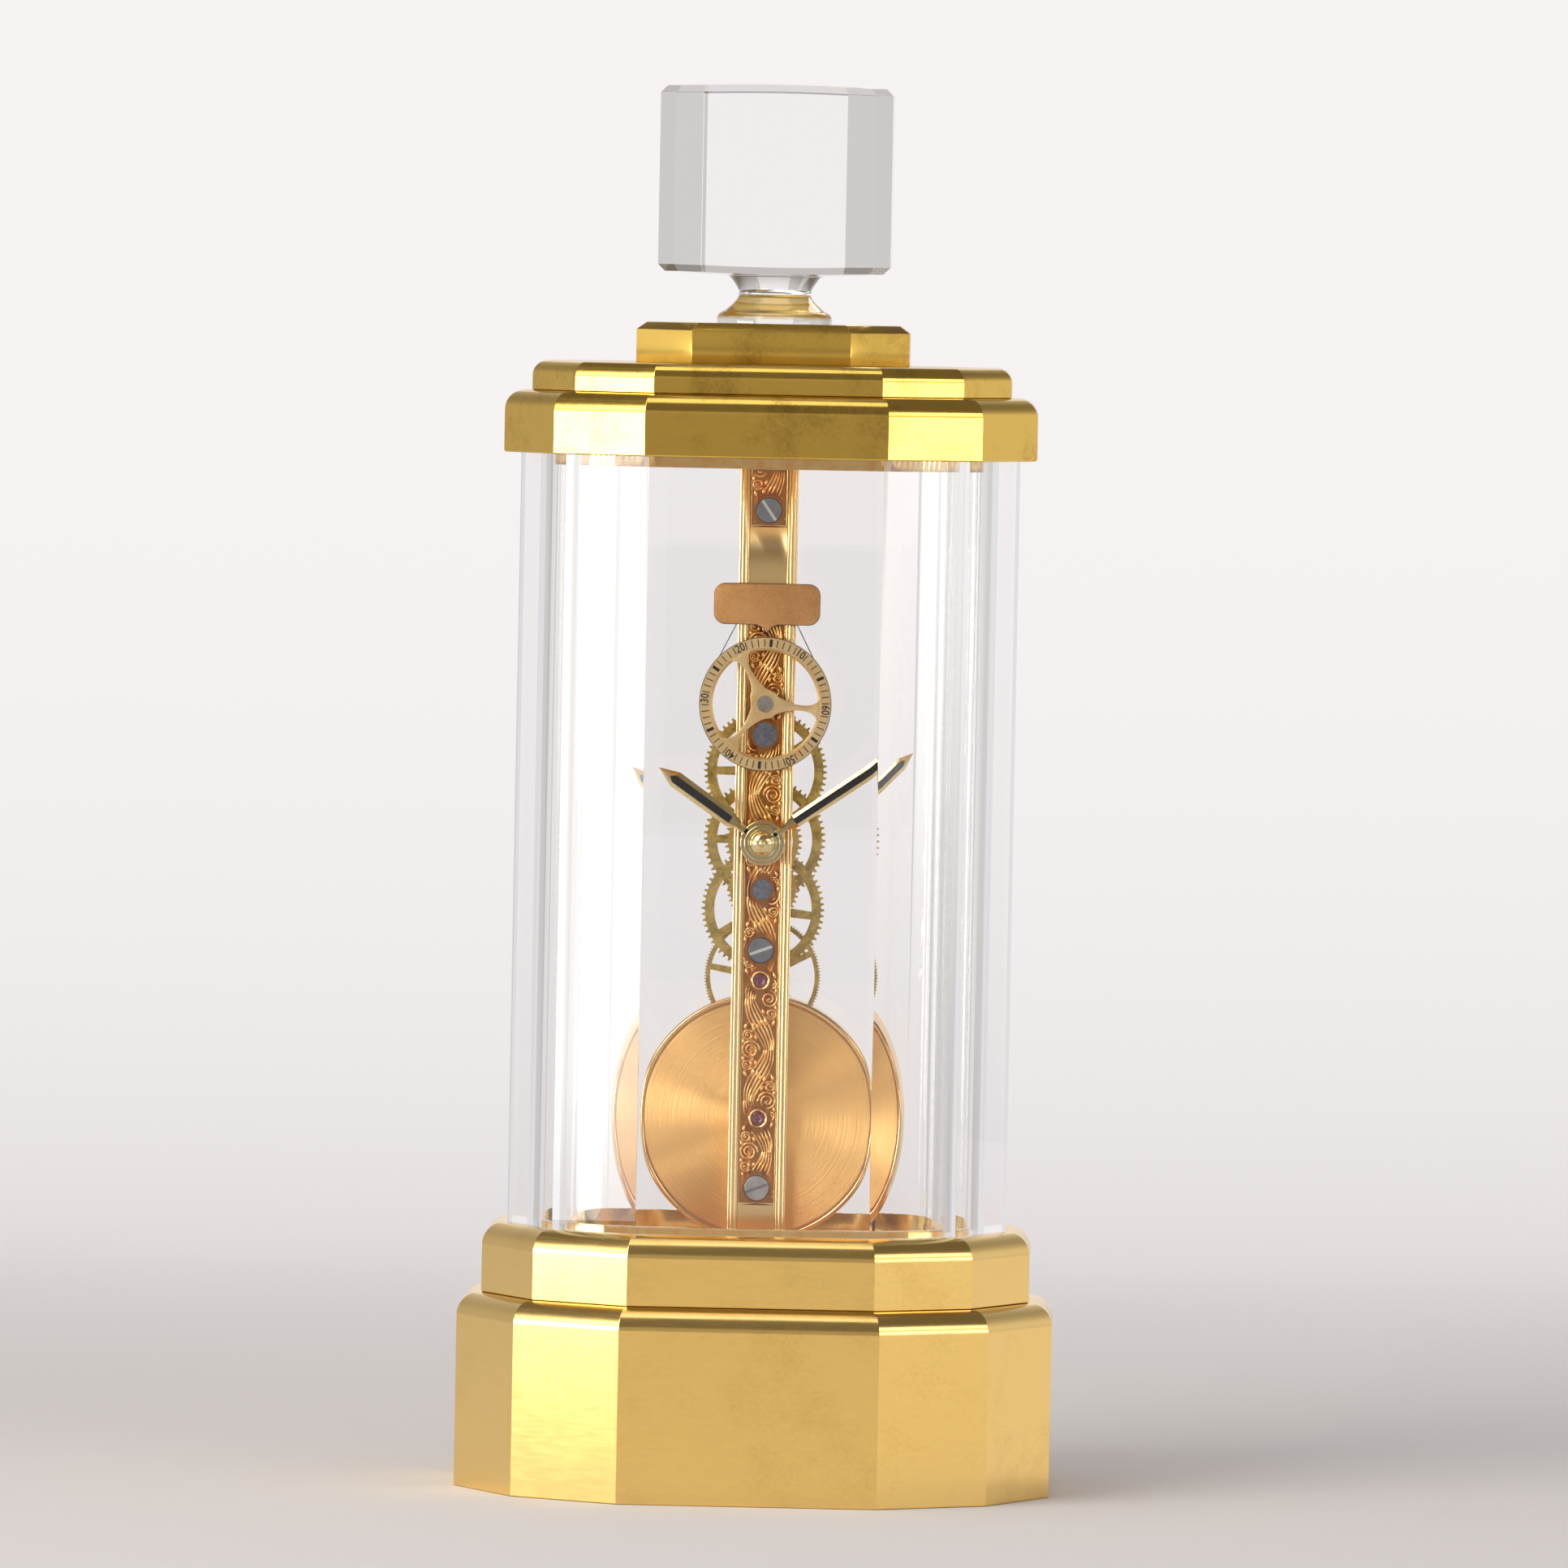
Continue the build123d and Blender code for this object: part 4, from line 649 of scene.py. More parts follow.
def tierSizes(node):
    low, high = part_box(node)
    return high.y, high.x - high.y, low.z, high.z


def easedFoot(apothem, z):  # the small eased edge where a tier meets what is under it
    edge = tierEdges["foot"] * mm
    return [(apothem - edge, z, -90, -90), (apothem, z + edge, 0, 0)]


def pocketRings(deep, top, soft, apothem, halfStretch):  # an oval pocket, drawn from the floor piece in it
    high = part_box("base_floor")[1]
    gap = tierEdges["pocketGap"] * mm
    plan = planRing(apothem, halfStretch, 0.0, soft)
    quarter = hollowOutline(high.x - gap, high.y - gap)
    oval = ovalRing(quarter, [math.atan2(y, x) for x, y, t in plan])
    up = [(0.0, 0.0, 1.0)] * len(plan)
    inward = [(-nx, -ny, 0.0) for x, y, nx, ny in oval]
    rims = []
    for z, before, after in ((top, up, inward), (top - deep, inward, up)):
        rims.append(([(x, y, z) for x, y, nx, ny in oval], before, after))
    return rims


def makeTiers():
    soft = tierEdges["cornerSoft"] * mm
    for node, look in tiers.items():
        apothem, halfStretch, z, top = tierSizes(node)
        rows = easedFoot(apothem, z) + roundOver(apothem, top, look["round"] * mm)
        if "wall" in look:  # hollow underneath
            inner, ceiling = apothem - look["wall"] * mm, top - look["roof"] * mm
            rows = [(inner, ceiling, -90, 180), (inner, z, 180, -90)] + rows
        rings = tierRings(rows, halfStretch, soft)
        if "pocket" in look:  # open on top for the floor of the crystal
            rings += pocketRings(look["pocket"] * mm, top, soft, apothem, halfStretch)
        settle(loft(node + "_skin", rings, finishes[look["finish"]]), "case", "case_gilt", node)


capTop = {"corner": 10.19, "cornerShrink": 0.4142, "edge": 1.3, "drop": 1.8, "soft": 0.14}


def makeCapTop():
    low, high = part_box("cap_top")
    size = inMetres(capTop)
    work = bmesh.new()
    levels = []
    for inset, z in ((0.0, low.z), (0.0, high.z - size["edge"]), (size["drop"], high.z)):
        cut = size["corner"] - inset * capTop["cornerShrink"]
        a, b = high.x - inset, high.y - inset
        ring = [(a, cut - b), (a, b - cut), (a - cut, b), (cut - a, b)]
        ring += [(-x, -y) for x, y in ring]
        levels.append([work.verts.new((x, y, z)) for x, y in ring])
    for lower, upper in zip(levels, levels[1:]):
        for j in range(8):
            n = (j + 1) % 8
            work.faces.new((lower[j], lower[n], upper[n], upper[j]))
    work.faces.new(list(reversed(levels[0])))
    work.faces.new(levels[-1])
    edges = list(work.edges)
    bmesh.ops.bevel(work, geom=edges, offset=size["soft"], segments=2, profile=0.6, affect="EDGES")
    piece = pieceFrom(work, bpy.data.meshes.new("cap_top_skin"), finishes["cap_gilt"], angle=22.0)
    settle(piece, "case", "case_gilt", "cap_top")


makeTiers()
makeCapTop()
print("tiers made")

# crystal tube and finial

def makeCrystal():
    apothem, halfStretch, low, top = tierSizes("crystal_body")
    gap = crystal["gap"] * mm
    low, top = low + gap, top - gap
    outer = planRing(apothem, halfStretch, 0.0, crystal["cornerSoft"] * mm, flats=16)
    halfX, halfY = apothem + halfStretch - crystal["wallX"] * mm, apothem - crystal["wallY"] * mm
    quarter = hollowOutline(halfX, halfY)
    inner = ovalRing(quarter, [math.atan2(y, x) for x, y, t in outer])
    side = tiltedNormals(outer, 0.0)
    inward = [(-nx, -ny, 0.0) for x, y, nx, ny in inner]
    up = [(0.0, 0.0, 1.0)] * len(outer)
    down = [(0.0, 0.0, -1.0)] * len(outer)
    rings = [
        ([(x, y, low) for x, y, t in outer], down, side),
        ([(x, y, top) for x, y, t in outer], side, up),
        ([(x, y, top) for x, y, nx, ny in inner], up, inward),
        ([(x, y, low) for x, y, nx, ny in inner], inward, down),
    ]
    settle(loft("crystal_tube", rings, finishes["crystal"], loop=True), "case", "crystal", "crystal_body")


finial = {"stretchX": 9.8, "stretchY": 6.0, "cornerSoft": 0.35, "dome": 1.2, "edge": 1.2, "cubeHeight": 34.2,
          "foot": 10.25, "rim": 0.5, "shoulder": 1.5, "shoulderUp": 1.7, "neck": 6.4, "neckTop": 8.2,
          "neckUnder": 0.1, "cubeStart": 8.9, "gap": 0.03}
finialForm = {"shoulderTurn": 75.0, "waistPower": 2.2, "waistSag": 0.055, "domeReach": 1.06}


def footProfile(size, base, top):  # radius and height up the foot: eased rim, rounded shoulder, waisted neck
    rim, shoulder, neck = size["rim"], size["shoulder"], size["neck"]
    rows = []
    rimSteps, shoulderSteps, neckSteps = 6, 8, 24
    for s in range(rimSteps + 1):
        a = -math.pi / 2 + math.pi / 2 * s / rimSteps
        rows.append((size["foot"] - rim + rim * math.cos(a), base + rim + rim * math.sin(a)))
    for s in range(shoulderSteps + 1):
        a = math.radians(finialForm["shoulderTurn"]) * s / shoulderSteps
        height = base + size["shoulderUp"] + shoulder * math.sin(a)
        rows.append((size["foot"] - shoulder + shoulder * math.cos(a), height))
    start, end = rows[-1], (size["neckTop"], top)
    for share in shares(neckSteps)[1:]:
        swell = abs(2 * share - 1) ** finialForm["waistPower"]
        wide = start[0] if share < 0.5 else end[0]
        up = share + finialForm["waistSag"] * math.sin(2 * math.pi * share)
        rows.append((neck + (wide - neck) * swell, start[1] + (end[1] - start[1]) * up))
    return rows


def smoothProfile(rows):  # radius and height of a turned outline, with the normal tilt worked out along it
    out = []
    for i, (r, z) in enumerate(rows):
        before, after = rows[max(0, i - 1)], rows[min(len(rows) - 1, i + 1)]
        out.append((r, z, math.atan2(before[0] - after[0], after[1] - before[1])))
    return out


def makeFinial():
    low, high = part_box("finial")
    size = inMetres(finial)
    halfX, halfY, soft, edge = size["stretchX"], size["stretchY"], size["cornerSoft"], size["edge"]
    apothem = high.y - halfY
    plan = planRing(apothem, halfX, halfY, soft, flats=6)
    angles = [math.atan2(y, x) for x, y, t in plan]
    reach = math.hypot(high.x, high.y) * finialForm["domeReach"]
    bend = size["dome"] / reach ** 2
    cubeLow = high.z - size["cubeHeight"]
    rings = []
    for r, z, tilt in smoothProfile(footProfile(size, low.z + size["gap"], cubeLow - size["neckUnder"])):
        points = [(r * math.cos(a), r * math.sin(a), z) for a in angles]
        across, up = math.cos(tilt), math.sin(tilt)
        normals = [(across * math.cos(a), across * math.sin(a), up) for a in angles]
        rings.append((points, normals, normals))
    rings[0] = (rings[0][0], [(0.0, 0.0, -1.0)] * len(angles), rings[0][2])
    shrunk = planRing(apothem - edge, halfX, halfY, soft, flats=6)

    def domeRing(share, top):  # from the neck's circle below, or the middle on top, to the cube's outline
        inner = 0.0 if top else size["cubeStart"]
        points, normals = [], []
        for (x, y, t), a in zip(shrunk, angles):
            cx, cy = inner * math.cos(a), inner * math.sin(a)
            px, py = cx + (x - cx) * share, cy + (y - cy) * share
            rise = bend * (px * px + py * py)
            points.append((px, py, high.z - rise if top else cubeLow + rise))
            normals.append(Vector((2 * bend * px, 2 * bend * py, 1.0 if top else -1.0)).normalized())
        return points, normals, normals

    rings += [domeRing(share, False) for share in (0.0, 0.35, 0.7, 1.0)]
    bottom, lid = rings[-1], domeRing(1.0, True)
    side = tiltedNormals(plan, 0.0)
    lowSlope, highSlope = tiltedNormals(plan, math.radians(-45)), tiltedNormals(plan, math.radians(45))
    lower = [(x, y, p[2] + edge) for (x, y, t), p in zip(plan, bottom[0])]
    upper = [(x, y, p[2] - edge) for (x, y, t), p in zip(plan, lid[0])]
    rings[-1] = (bottom[0], bottom[1], lowSlope)
    rings += [(lower, lowSlope, side), (upper, side, highSlope), (lid[0], highSlope, lid[2])]
    rings += [domeRing(share, True) for share in (0.75, 0.5, 0.25, 0.02)]
    settle(loft("crystal_finial", rings, finishes["crystal_solid"]), "case", "crystal", "finial")


makeCrystal()
makeFinial()
print("crystal made")

# drum, rubies, studs and the turned centre of the hands

drum = {"ledge": 1.4, "floor": 1.2, "hole": 1.2, "edge": 0.15, "backEdge": 0.25, "rimRise": 0.45,
        "clearance": 0.2}


def canProfile(outer, inner, back, front, ledge):  # the rim is rounded over, the inside drops to the ledge
    size = inMetres(drum)
    rows = [(outer - size["backEdge"], back, -90, -90), (outer, back + size["backEdge"], 0, 0)]
    thick, rise = (outer - inner) / 2, size["rimRise"]
    for share in shares(8):
        tilt = 180 * share
        a = math.radians(tilt)
        rows.append((outer - thick + thick * math.cos(a), front - rise + rise * math.sin(a), tilt, tilt))
    deep, floor, hole = inner - size["ledge"], back + size["floor"], size["hole"]
    rows += [(inner, ledge, 180, 90), (deep, ledge, 90, 180), (deep, floor, 180, 90)]
    return rows + [(hole, floor, 90, 180), (hole, back, 180, -90)]


def makeDrum():
    low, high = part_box("motor_can")
    faceLow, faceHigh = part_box("motor_cover")
    face, e, hole = faceHigh.x, drum["edge"] * mm, drum["hole"] * mm
    back, front = -faceHigh.y, -faceLow.y
    rows = canProfile(high.x, face + drum["clearance"] * mm, -high.y, -low.y, back)
    can = lathe("drum_can", rows, drumMiddle, finishes["rim_rose"], steps=160, loop=True)
    settle(can, "case", "drum_rose", "motor_can")
    rows = [(face, back, -90, 0), (face, front - e, 0, 0), (face - e, front, 90, 90)]
    rows += [(face * 0.5, front, 90, 90), (hole, front, 90, 180), (hole, back, 180, -90)]
    cover = lathe("drum_face", rows, drumMiddle, finishes["drum_rose"], steps=160, loop=True)
    settle(cover, "case", "drum_rose", "motor_cover")


rubies = {"dome": 0.34, "edge": 0.12, "crest": 0.62, "sink": 0.26, "floor": 0.2, "clearance": 0.06,
          "settingIn": 1.3, "settingOut": 1.78, "settingLip": 0.1}
rubyLean = {"shoulder": 55, "turn": 35}  # degrees


def jewelProfile(radius, back, front):  # rounded over on the outside, with a cup for the oil in the middle
    edge, dome, sink = rubies["edge"] * mm, rubies["dome"] * mm, rubies["sink"] * mm
    crest, floor = radius * rubies["crest"], rubies["floor"] * mm
    rows = [(radius, back, -90, 0), (radius, front - dome - edge, 0, 0)]
    for share in shares(5):
        lean = rubyLean["shoulder"] + rubyLean["turn"] * share
        wide = radius - edge - (radius - edge - crest) * share
        rows.append((wide, front - dome * (1 - share) ** 2, lean, lean))
    for share in shares(5)[1:]:
        lean = 90 + math.degrees(math.atan(2 * sink * (1 - share) / (crest - floor)))
        rows.append((crest - (crest - floor) * share, front - sink * (1 - (1 - share) ** 2), lean, lean))
    return rows


def makeRubies():
    low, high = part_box("bridge_jewels")
    radius, back, front = high.x, -high.y, -low.y
    size = inMetres(rubies)
    wide, narrow, lip = size["settingOut"], size["settingIn"], size["settingLip"]
    stone = jewelProfile(radius - size["clearance"], back, front)
    setting = [(wide, front - lip, -90, 0), (wide, front + lip / 5, 0, 20),
               ((wide + narrow) / 2, front + lip, 60, 110),
               (narrow, front - lip / 2, 140, 180), (narrow, front - lip * 3, 180, -90)]
    stones, collars = [], []
    for k, z in enumerate((low.z + radius, high.z - radius)):
        stones.append(lathe("ruby_%d" % k, stone, z, finishes["ruby"], steps=48))
        collars.append(lathe("chaton_%d" % k, setting, z, finishes["scroll_gilt"], steps=48, loop=True))
    settle(joinPieces(stones, "rubies"), "case", "ruby", "bridge_jewels")
    settle(joinPieces(collars, "chatons"), "case", "movement_gilt")


studs = {"dome": 0.08, "edge": 0.14, "proud": 0.02, "deep": 1.0, "tip": 0.02}
studLean = {"edge": 60, "dome": 12}  # degrees


def makeStuds():
    size = inMetres(studs)
    dome, edge = size["dome"], size["edge"]
    for node in ("cock_stud", "minute_stud"):
        low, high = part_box(node)
        radius, front = high.x + size["proud"], -low.y + size["proud"]
        rows = [(radius, -low.y - size["deep"], -90, 0), (radius, front - dome - edge, 0, 0)]
        rows.append((radius - edge, front - dome, studLean["edge"], studLean["edge"]))
        for s in range(1, 6):
            share = 1 - s / 6
            lean = 90 - studLean["dome"] * share
            rows.append(((radius - edge) * share + size["tip"], front - dome * share * share, lean, lean))
        head = lathe(node + "_head", rows, (low.z + high.z) / 2, finishes["stud_steel"], steps=48)
        settle(head, "case", "stud_steel")


handCap = {"cap": 2.15, "dome": 0.55, "ball": 0.62, "seat": 0.3}
handCapLean = {"seat": 10, "dome": 30, "domeTurn": 55, "ball": 5, "ballStep": 14}  # degrees


def makeHandCentre():
    low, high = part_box("hand_cap")
    middle = (low.z + high.z) / 2
    back, front = -high.y, -low.y
    size = inMetres(handCap)
    cap, dome, ball = size["cap"], size["dome"], size["ball"]
    seat = back + size["seat"]
    rows = [(cap, back, -90, 0), (cap, seat, 0, handCapLean["seat"])]
    for share in shares(8):  # domed top
        wide = cap - (cap - ball) * share
        lean = handCapLean["dome"] + handCapLean["domeTurn"] * share
        rows.append((wide, seat + dome * math.sin(math.pi / 2 * share), lean, lean))
    for s in range(7):  # small ball end of the arbor
        lean = handCapLean["ball"] + handCapLean["ballStep"] * s
        a = math.radians(lean)
        rows.append((ball * math.cos(a), seat + dome + (front - seat - dome) * math.sin(a), lean, lean))
    boss = lathe("hand_boss", rows, middle, finishes["hand_gilt"], steps=64)
    settle(boss, "hands_minute", "hand_gilt", "hand_cap")
    return middle


makeDrum()
makeRubies()
makeStuds()
handMiddle = makeHandCentre()
print("turned pieces made")

# hands: bevelled batons with a dark inlay

hands = {
    "hour": {"node": "hour_hand", "body": "hands_hour", "angle": 304.7, "length": 22.9,
             "half": 1.5, "neck": 0.8, "collar": 4.05, "bore": 2.52},
    "minute": {"node": "minute_hand", "body": "hands_minute", "angle": 55.7, "length": 29.3,
               "half": 1.25, "neck": 0.6, "collar": 3.3, "bore": 1.52},
}
handForm = inMetres({
    "bevelDrop": 0.42, "neckGap": 0.3, "neckEnd": 5.2, "bladeStart": 7.15,
    "point": 3.6, "tipBack": 0.4, "tipDrop": 0.3,
    "collarEdge": 0.18, "collarLip": 0.75, "collarStep": 0.85, "collarSink": 0.12,
    "inlayStart": 7.0, "inlayStop": 3.4, "inlayPoint": 0.9, "inlayProud": 0.012, "inlayDeep": 0.1,
})
handShares = {"flat": 0.52, "narrow": 0.94, "inlay": 0.93, "inlayFoot": 0.9}


def handPoint(across, along, angle, y):
    c, s = math.cos(math.radians(angle)), math.sin(math.radians(angle))
    return (across * c + along * s, y, handMiddle - across * s + along * c)


def handBlade(look, front, back):  # bevelled on both sides of a flat, with a pointed end
    length, half, neck = look["length"] * mm, look["half"] * mm, look["neck"] * mm
    shoulder, narrow = front + handForm["bevelDrop"], handShares["narrow"]
    stations = [(look["bore"] * mm + handForm["neckGap"], neck), (handForm["neckEnd"], neck * narrow),
                (handForm["bladeStart"], half * narrow), (length - handForm["point"], half)]
    verts, faces = [], []
    for along, wide in stations:
        flat = wide * handShares["flat"]
        left = [(-wide, back), (-wide, shoulder), (-flat, front)]
        for across, y in left + [(-across, y) for across, y in reversed(left)]:
            verts.append(handPoint(across, along, look["angle"], y))
    tipBack, tipFront = len(verts), len(verts) + 1
    verts.append(handPoint(0.0, length, look["angle"], back))
    verts.append(handPoint(0.0, length - handForm["tipBack"], look["angle"], front + handForm["tipDrop"]))
    for s in range(len(stations) - 1):
        for j in range(6):
            n = (j + 1) % 6
            faces.append((s * 6 + j, (s + 1) * 6 + j, (s + 1) * 6 + n, s * 6 + n))
    a, b, c, d, e, f = range(tipBack - 6, tipBack)
    faces += [(b, a, tipBack), (c, b, tipBack, tipFront), (d, c, tipFront)]
    faces += [(e, d, tipFront, tipBack), (f, e, tipBack), (a, f, tipBack)]
    faces.append((0, 1, 2, 3, 4, 5))
    blade = faceOutward(makePiece(look["node"] + "_blade", verts, faces, finishes["hand_gilt"]))
    blade.data.set_sharp_from_angle(angle=math.radians(12.0))
    return blade


def handCollar(look, front, back):
    collar, inside, e = look["collar"] * mm, look["bore"] * mm, handForm["collarEdge"]
    sunk = -front - handForm["collarSink"]
    rows = [(collar, -back, -90, 0), (collar, -front - e, 0, 20), (collar - e, -front, 70, 90),
            (collar - handForm["collarLip"], -front, 90, 100),
            (collar - handForm["collarStep"], sunk, 120, 90),
            (inside, sunk, 90, 180), (inside, -back, 180, -90)]
    return lathe(look["node"] + "_collar", rows, handMiddle, finishes["hand_gilt"], steps=64, loop=True)


def handInlay(look, front):  # a dark strip let into the flat
    flat = look["half"] * mm * handShares["flat"] * handShares["inlay"]
    start, end = handForm["inlayStart"], look["length"] * mm - handForm["inlayStop"]
    foot = flat * handShares["inlayFoot"]
    outline = [(-foot, start), (foot, start), (flat, end), (0.0, end + handForm["inlayPoint"]), (-flat, end)]
    verts = []
    for y in (front - handForm["inlayProud"], front + handForm["inlayDeep"]):
        verts += [handPoint(across, along, look["angle"], y) for across, along in outline]
    count = len(outline)
    faces = [tuple(range(count)), tuple(reversed(range(count, 2 * count)))]
    faces += [(j, j + count, (j + 1) % count + count, (j + 1) % count) for j in range(count)]
    inlay = faceOutward(makePiece(look["node"] + "_inlay", verts, faces, finishes["black_inlay"]))
    inlay.data.set_sharp_from_angle(angle=math.radians(20.0))
    return inlay


def makeHand(look):
    low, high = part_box(look["node"])
    metal = [handBlade(look, low.y, high.y), handCollar(look, low.y, high.y)]
    settle(joinPieces(metal, look["node"] + "_gilt"), look["body"], "hand_gilt", look["node"])
    settle(handInlay(look, low.y), look["body"], "black_plastic")


makeHand(hands["hour"])
makeHand(hands["minute"])
print("hands made")

# seconds ring with its marks

secondsRing = {
    "outer": 11.9, "inner": 9.5, "hub": 2.6, "bore": 1.47, "chamfer": 0.4, "edge": 0.08,
    "line": 0.07, "lineSink": 0.02, "armEdge": 0.12, "armSink": 0.01,
    "markRadius": 10.85, "tickLong": 1.35, "tickWide": 0.17, "boldWide": 0.55, "tickProud": 0.03,
    "numeral": 2.15, "numeralProud": 0.015, "numeralBold": 0.03,
}
ringTurns = {"arms": (-5.0, 118.0, 230.0), "zero": -4.5}
ringArm = (  # share of the way out, half width
    (0.20, 1.7), (0.27, 1.35), (0.40, 0.86), (0.55, 0.55), (0.70, 0.46),
    (0.82, 0.56), (0.90, 0.82), (0.96, 1.25), (1.03, 2.3),
)
numeralStretch = (0.8, 0.95)


def makeRing():
    low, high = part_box("seconds_ring")
    middle = (low.z + high.z) / 2
    back, front = -high.y, -low.y
    size = inMetres(secondsRing)
    outer, inner, hub, bore = size["outer"], size["inner"], size["hub"], size["bore"]
    cut, e, gilt = size["chamfer"], size["edge"], finishes["ring_gilt"]
    rows = [(outer, back, -90, 0), (outer, front - e, 0, 0), (outer - e, front, 90, 90),
            (inner + cut, front, 90, 135), (inner, front - cut, 135, 180), (inner, back, 180, -90)]
    hubRows = [(hub, back, -90, 0), (hub, front - e, 0, 45), (hub - e, front, 90, 90),
               (bore, front, 90, 180), (bore, back, 180, -90)]
    steps = 160
    parts = [lathe("ring_band", rows, middle, gilt, steps, loop=True)]
    parts.append(lathe("ring_hub", hubRows, middle, gilt, steps=64, loop=True))
    side = [(share * inner, half * mm) for share, half in ringArm]
    both = side + [(r, -h) for r, h in reversed(side)]
    for k, angle in enumerate(ringTurns["arms"]):
        c, s = math.cos(math.radians(angle)), math.sin(math.radians(angle))
        shape = [(r * c - h * s, middle + r * s + h * c) for r, h in both]
        arm = bevelPlate("ring_arm_%d" % k, shape, size["armSink"] - front, -back, size["armEdge"], gilt)
        parts.append(arm)
    settle(joinPieces(parts, "seconds_ring_gilt"), "seconds", "movement_gilt", "seconds_ring")
    # painted shade: a thin dark wire along the ring's outer rim stands in for the shade on its edge
    line, loop = outer - size["line"], []
    for s in range(steps):
        a = 2 * math.pi * s / steps
        loop.append((line * math.cos(a), size["lineSink"] - front, middle + line * math.sin(a)))
    edge = tubeAlong("ring_edge_shade_line", loop, size["line"], finishes["guard_wire"])
    settle(edge, "seconds", "black_plastic")
    return middle, -front


def tickTree():  # sixty places round a circle; some left out for the numerals, some bold
    sizes = {"Radius": 0.01, "Long": 0.001, "Wide": 0.0002, "Bold": 0.0005, "Proud": 0.0001}
    board, inlet, keys = growTree("secondsTicks", sizes)
    index = board.node("GeometryNodeInputIndex")
    place = index % 10.0
    fromFive = (place - 5.0) * (place - 5.0)
    circle = board.node("GeometryNodeMeshCircle", {}, {"Vertices": 60, "Radius": inlet["Radius"]})
    spin = board.node("ShaderNodeCombineXYZ", {}, {"Z": index * math.radians(6.0)})
    joined = board.node("GeometryNodeJoinGeometry")
    for width, wanted in (("Wide", (place > 0.5) * (fromFive > 0.3)), ("Bold", fromFive < 0.3)):
        sides = {"X": inlet["Long"], "Y": inlet[width], "Z": inlet["Proud"]}
        size = board.node("ShaderNodeCombineXYZ", {}, sides)
        block = board.node("GeometryNodeMeshCube", {}, {"Size": size})
        spots = {"Points": circle, "Selection": wanted, "Instance": block, "Rotation": spin}
        board.feed(joined.socket.node, {0: board.node("GeometryNodeInstanceOnPoints", {}, spots)})
    closeTree(board, joined, finishes["black_inlay"])
    return board, keys


def faceFront(mesh, middle, y, spin):  # turns flat work drawn in XY to stand upright and face the viewer
    a = math.radians(spin)
    for v in mesh.vertices:
        x = v.co.x * math.cos(a) - v.co.y * math.sin(a)
        z = v.co.x * math.sin(a) + v.co.y * math.cos(a)
        v.co = (x, y - v.co.z, middle + z)


def makeMarks(middle, faceY):
    board, keys = tickTree()
    size = inMetres(secondsRing)
    seed = placeObject("tick_seed", bpy.data.meshes.new("tick_seed"))
    inputs = {"Radius": "markRadius", "Long": "tickLong", "Wide": "tickWide", "Bold": "boldWide",
              "Proud": "tickProud"}
    ticks = bakeTree(seed, board, {keys[way]: size[key] for way, key in inputs.items()}, "seconds_ticks")
    faceFront(ticks.data, middle, faceY, ringTurns["zero"])
    parts = [ticks]
    for number in range(10, 70, 10):
        name = "numeral_%d" % number
        curve = bpy.data.curves.new(name, "FONT")
        curve.body = str(number)
        curve.size = size["numeral"]
        curve.align_x = "CENTER"
        curve.align_y = "CENTER"
        curve.extrude = size["numeralProud"]
        curve.offset = size["numeralBold"]
        curve.resolution_u = 3
        mesh = bakedMesh(placeObject(name, curve))
        mesh.materials.clear()
        mesh.materials.append(finishes["black_inlay"])
        across, up = numeralStretch
        for v in mesh.vertices:
            v.co = (v.co.x * across, v.co.y * up + size["markRadius"], v.co.z)
        faceFront(mesh, middle, faceY, ringTurns["zero"] + number * 6.0 - 90.0)
        parts.append(placeObject(name, mesh))
    settle(joinPieces(parts, "seconds_marks"), "seconds", "black_plastic")


ringMiddle, ringFace = makeRing()
makeMarks(ringMiddle, ringFace)
print("seconds ring made")

# bridge with scroll relief

bridge = {"cockScrew": 96.3, "studClear": 0.55, "jewelClear": 0.75, "screwClear": 0.5, "handsClear": 3.4,
          "ringClear": 1.95, "bandIn": 0.12, "borderIn": 0.16, "borderWide": 0.13, "floor": 0.40}
scroll = {
    "lobe": 9.2, "sway": 1.75, "lanes": (-2.0, -1.0, 0.0, 1.0, 2.0), "strand": 0.235, "strandGap": 0.60,
    "volute": 1.5, "voluteIn": 1.62, "turns": 2.0, "eye": 0.22, "bead": 0.14, "beadWide": 0.30,
    "curl": 0.72, "curlIn": 2.12, "curlUp": 2.62, "curlTurns": 1.6, "curlLean": 0.6, "curlThin": 0.85,
    "leafWide": 1.3, "leafPoint": 0.05, "point": 0.22, "taper": 0.26, "proud": 1.8,
    "windIn": 0.8, "thinning": 0.3, "leafRoot": 0.12, "leafRun": 0.95, "leafFull": 0.8,
    "gapLeast": 0.62, "gapSwell": 0.5, "strandLeast": 0.75, "strandSwell": 0.35,
}
scrollLeaves = (  # across towards the stem's bulge, up from the volute, bend, length, half width
    (-2.85, 1.0, 0.5, 1.3, 0.24), (-1.0, 3.2, 0.6, 1.7, 0.26), (-2.6, 3.6, -0.9, 1.5, 0.24),
    (-0.55, 1.75, 0.9, 1.2, 0.22), (-1.5, 1.9, -0.7, 1.1, 0.20), (0.4, 4.4, 0.8, 1.3, 0.20),
)
leafFan = {"count": 4, "out": 1.05, "outStep": 0.1, "up": 0.1, "upStep": 0.72, "lean": 0.5, "leanStep": 0.1,
           "bend": 0.75, "long": 1.5, "wide": 0.25}


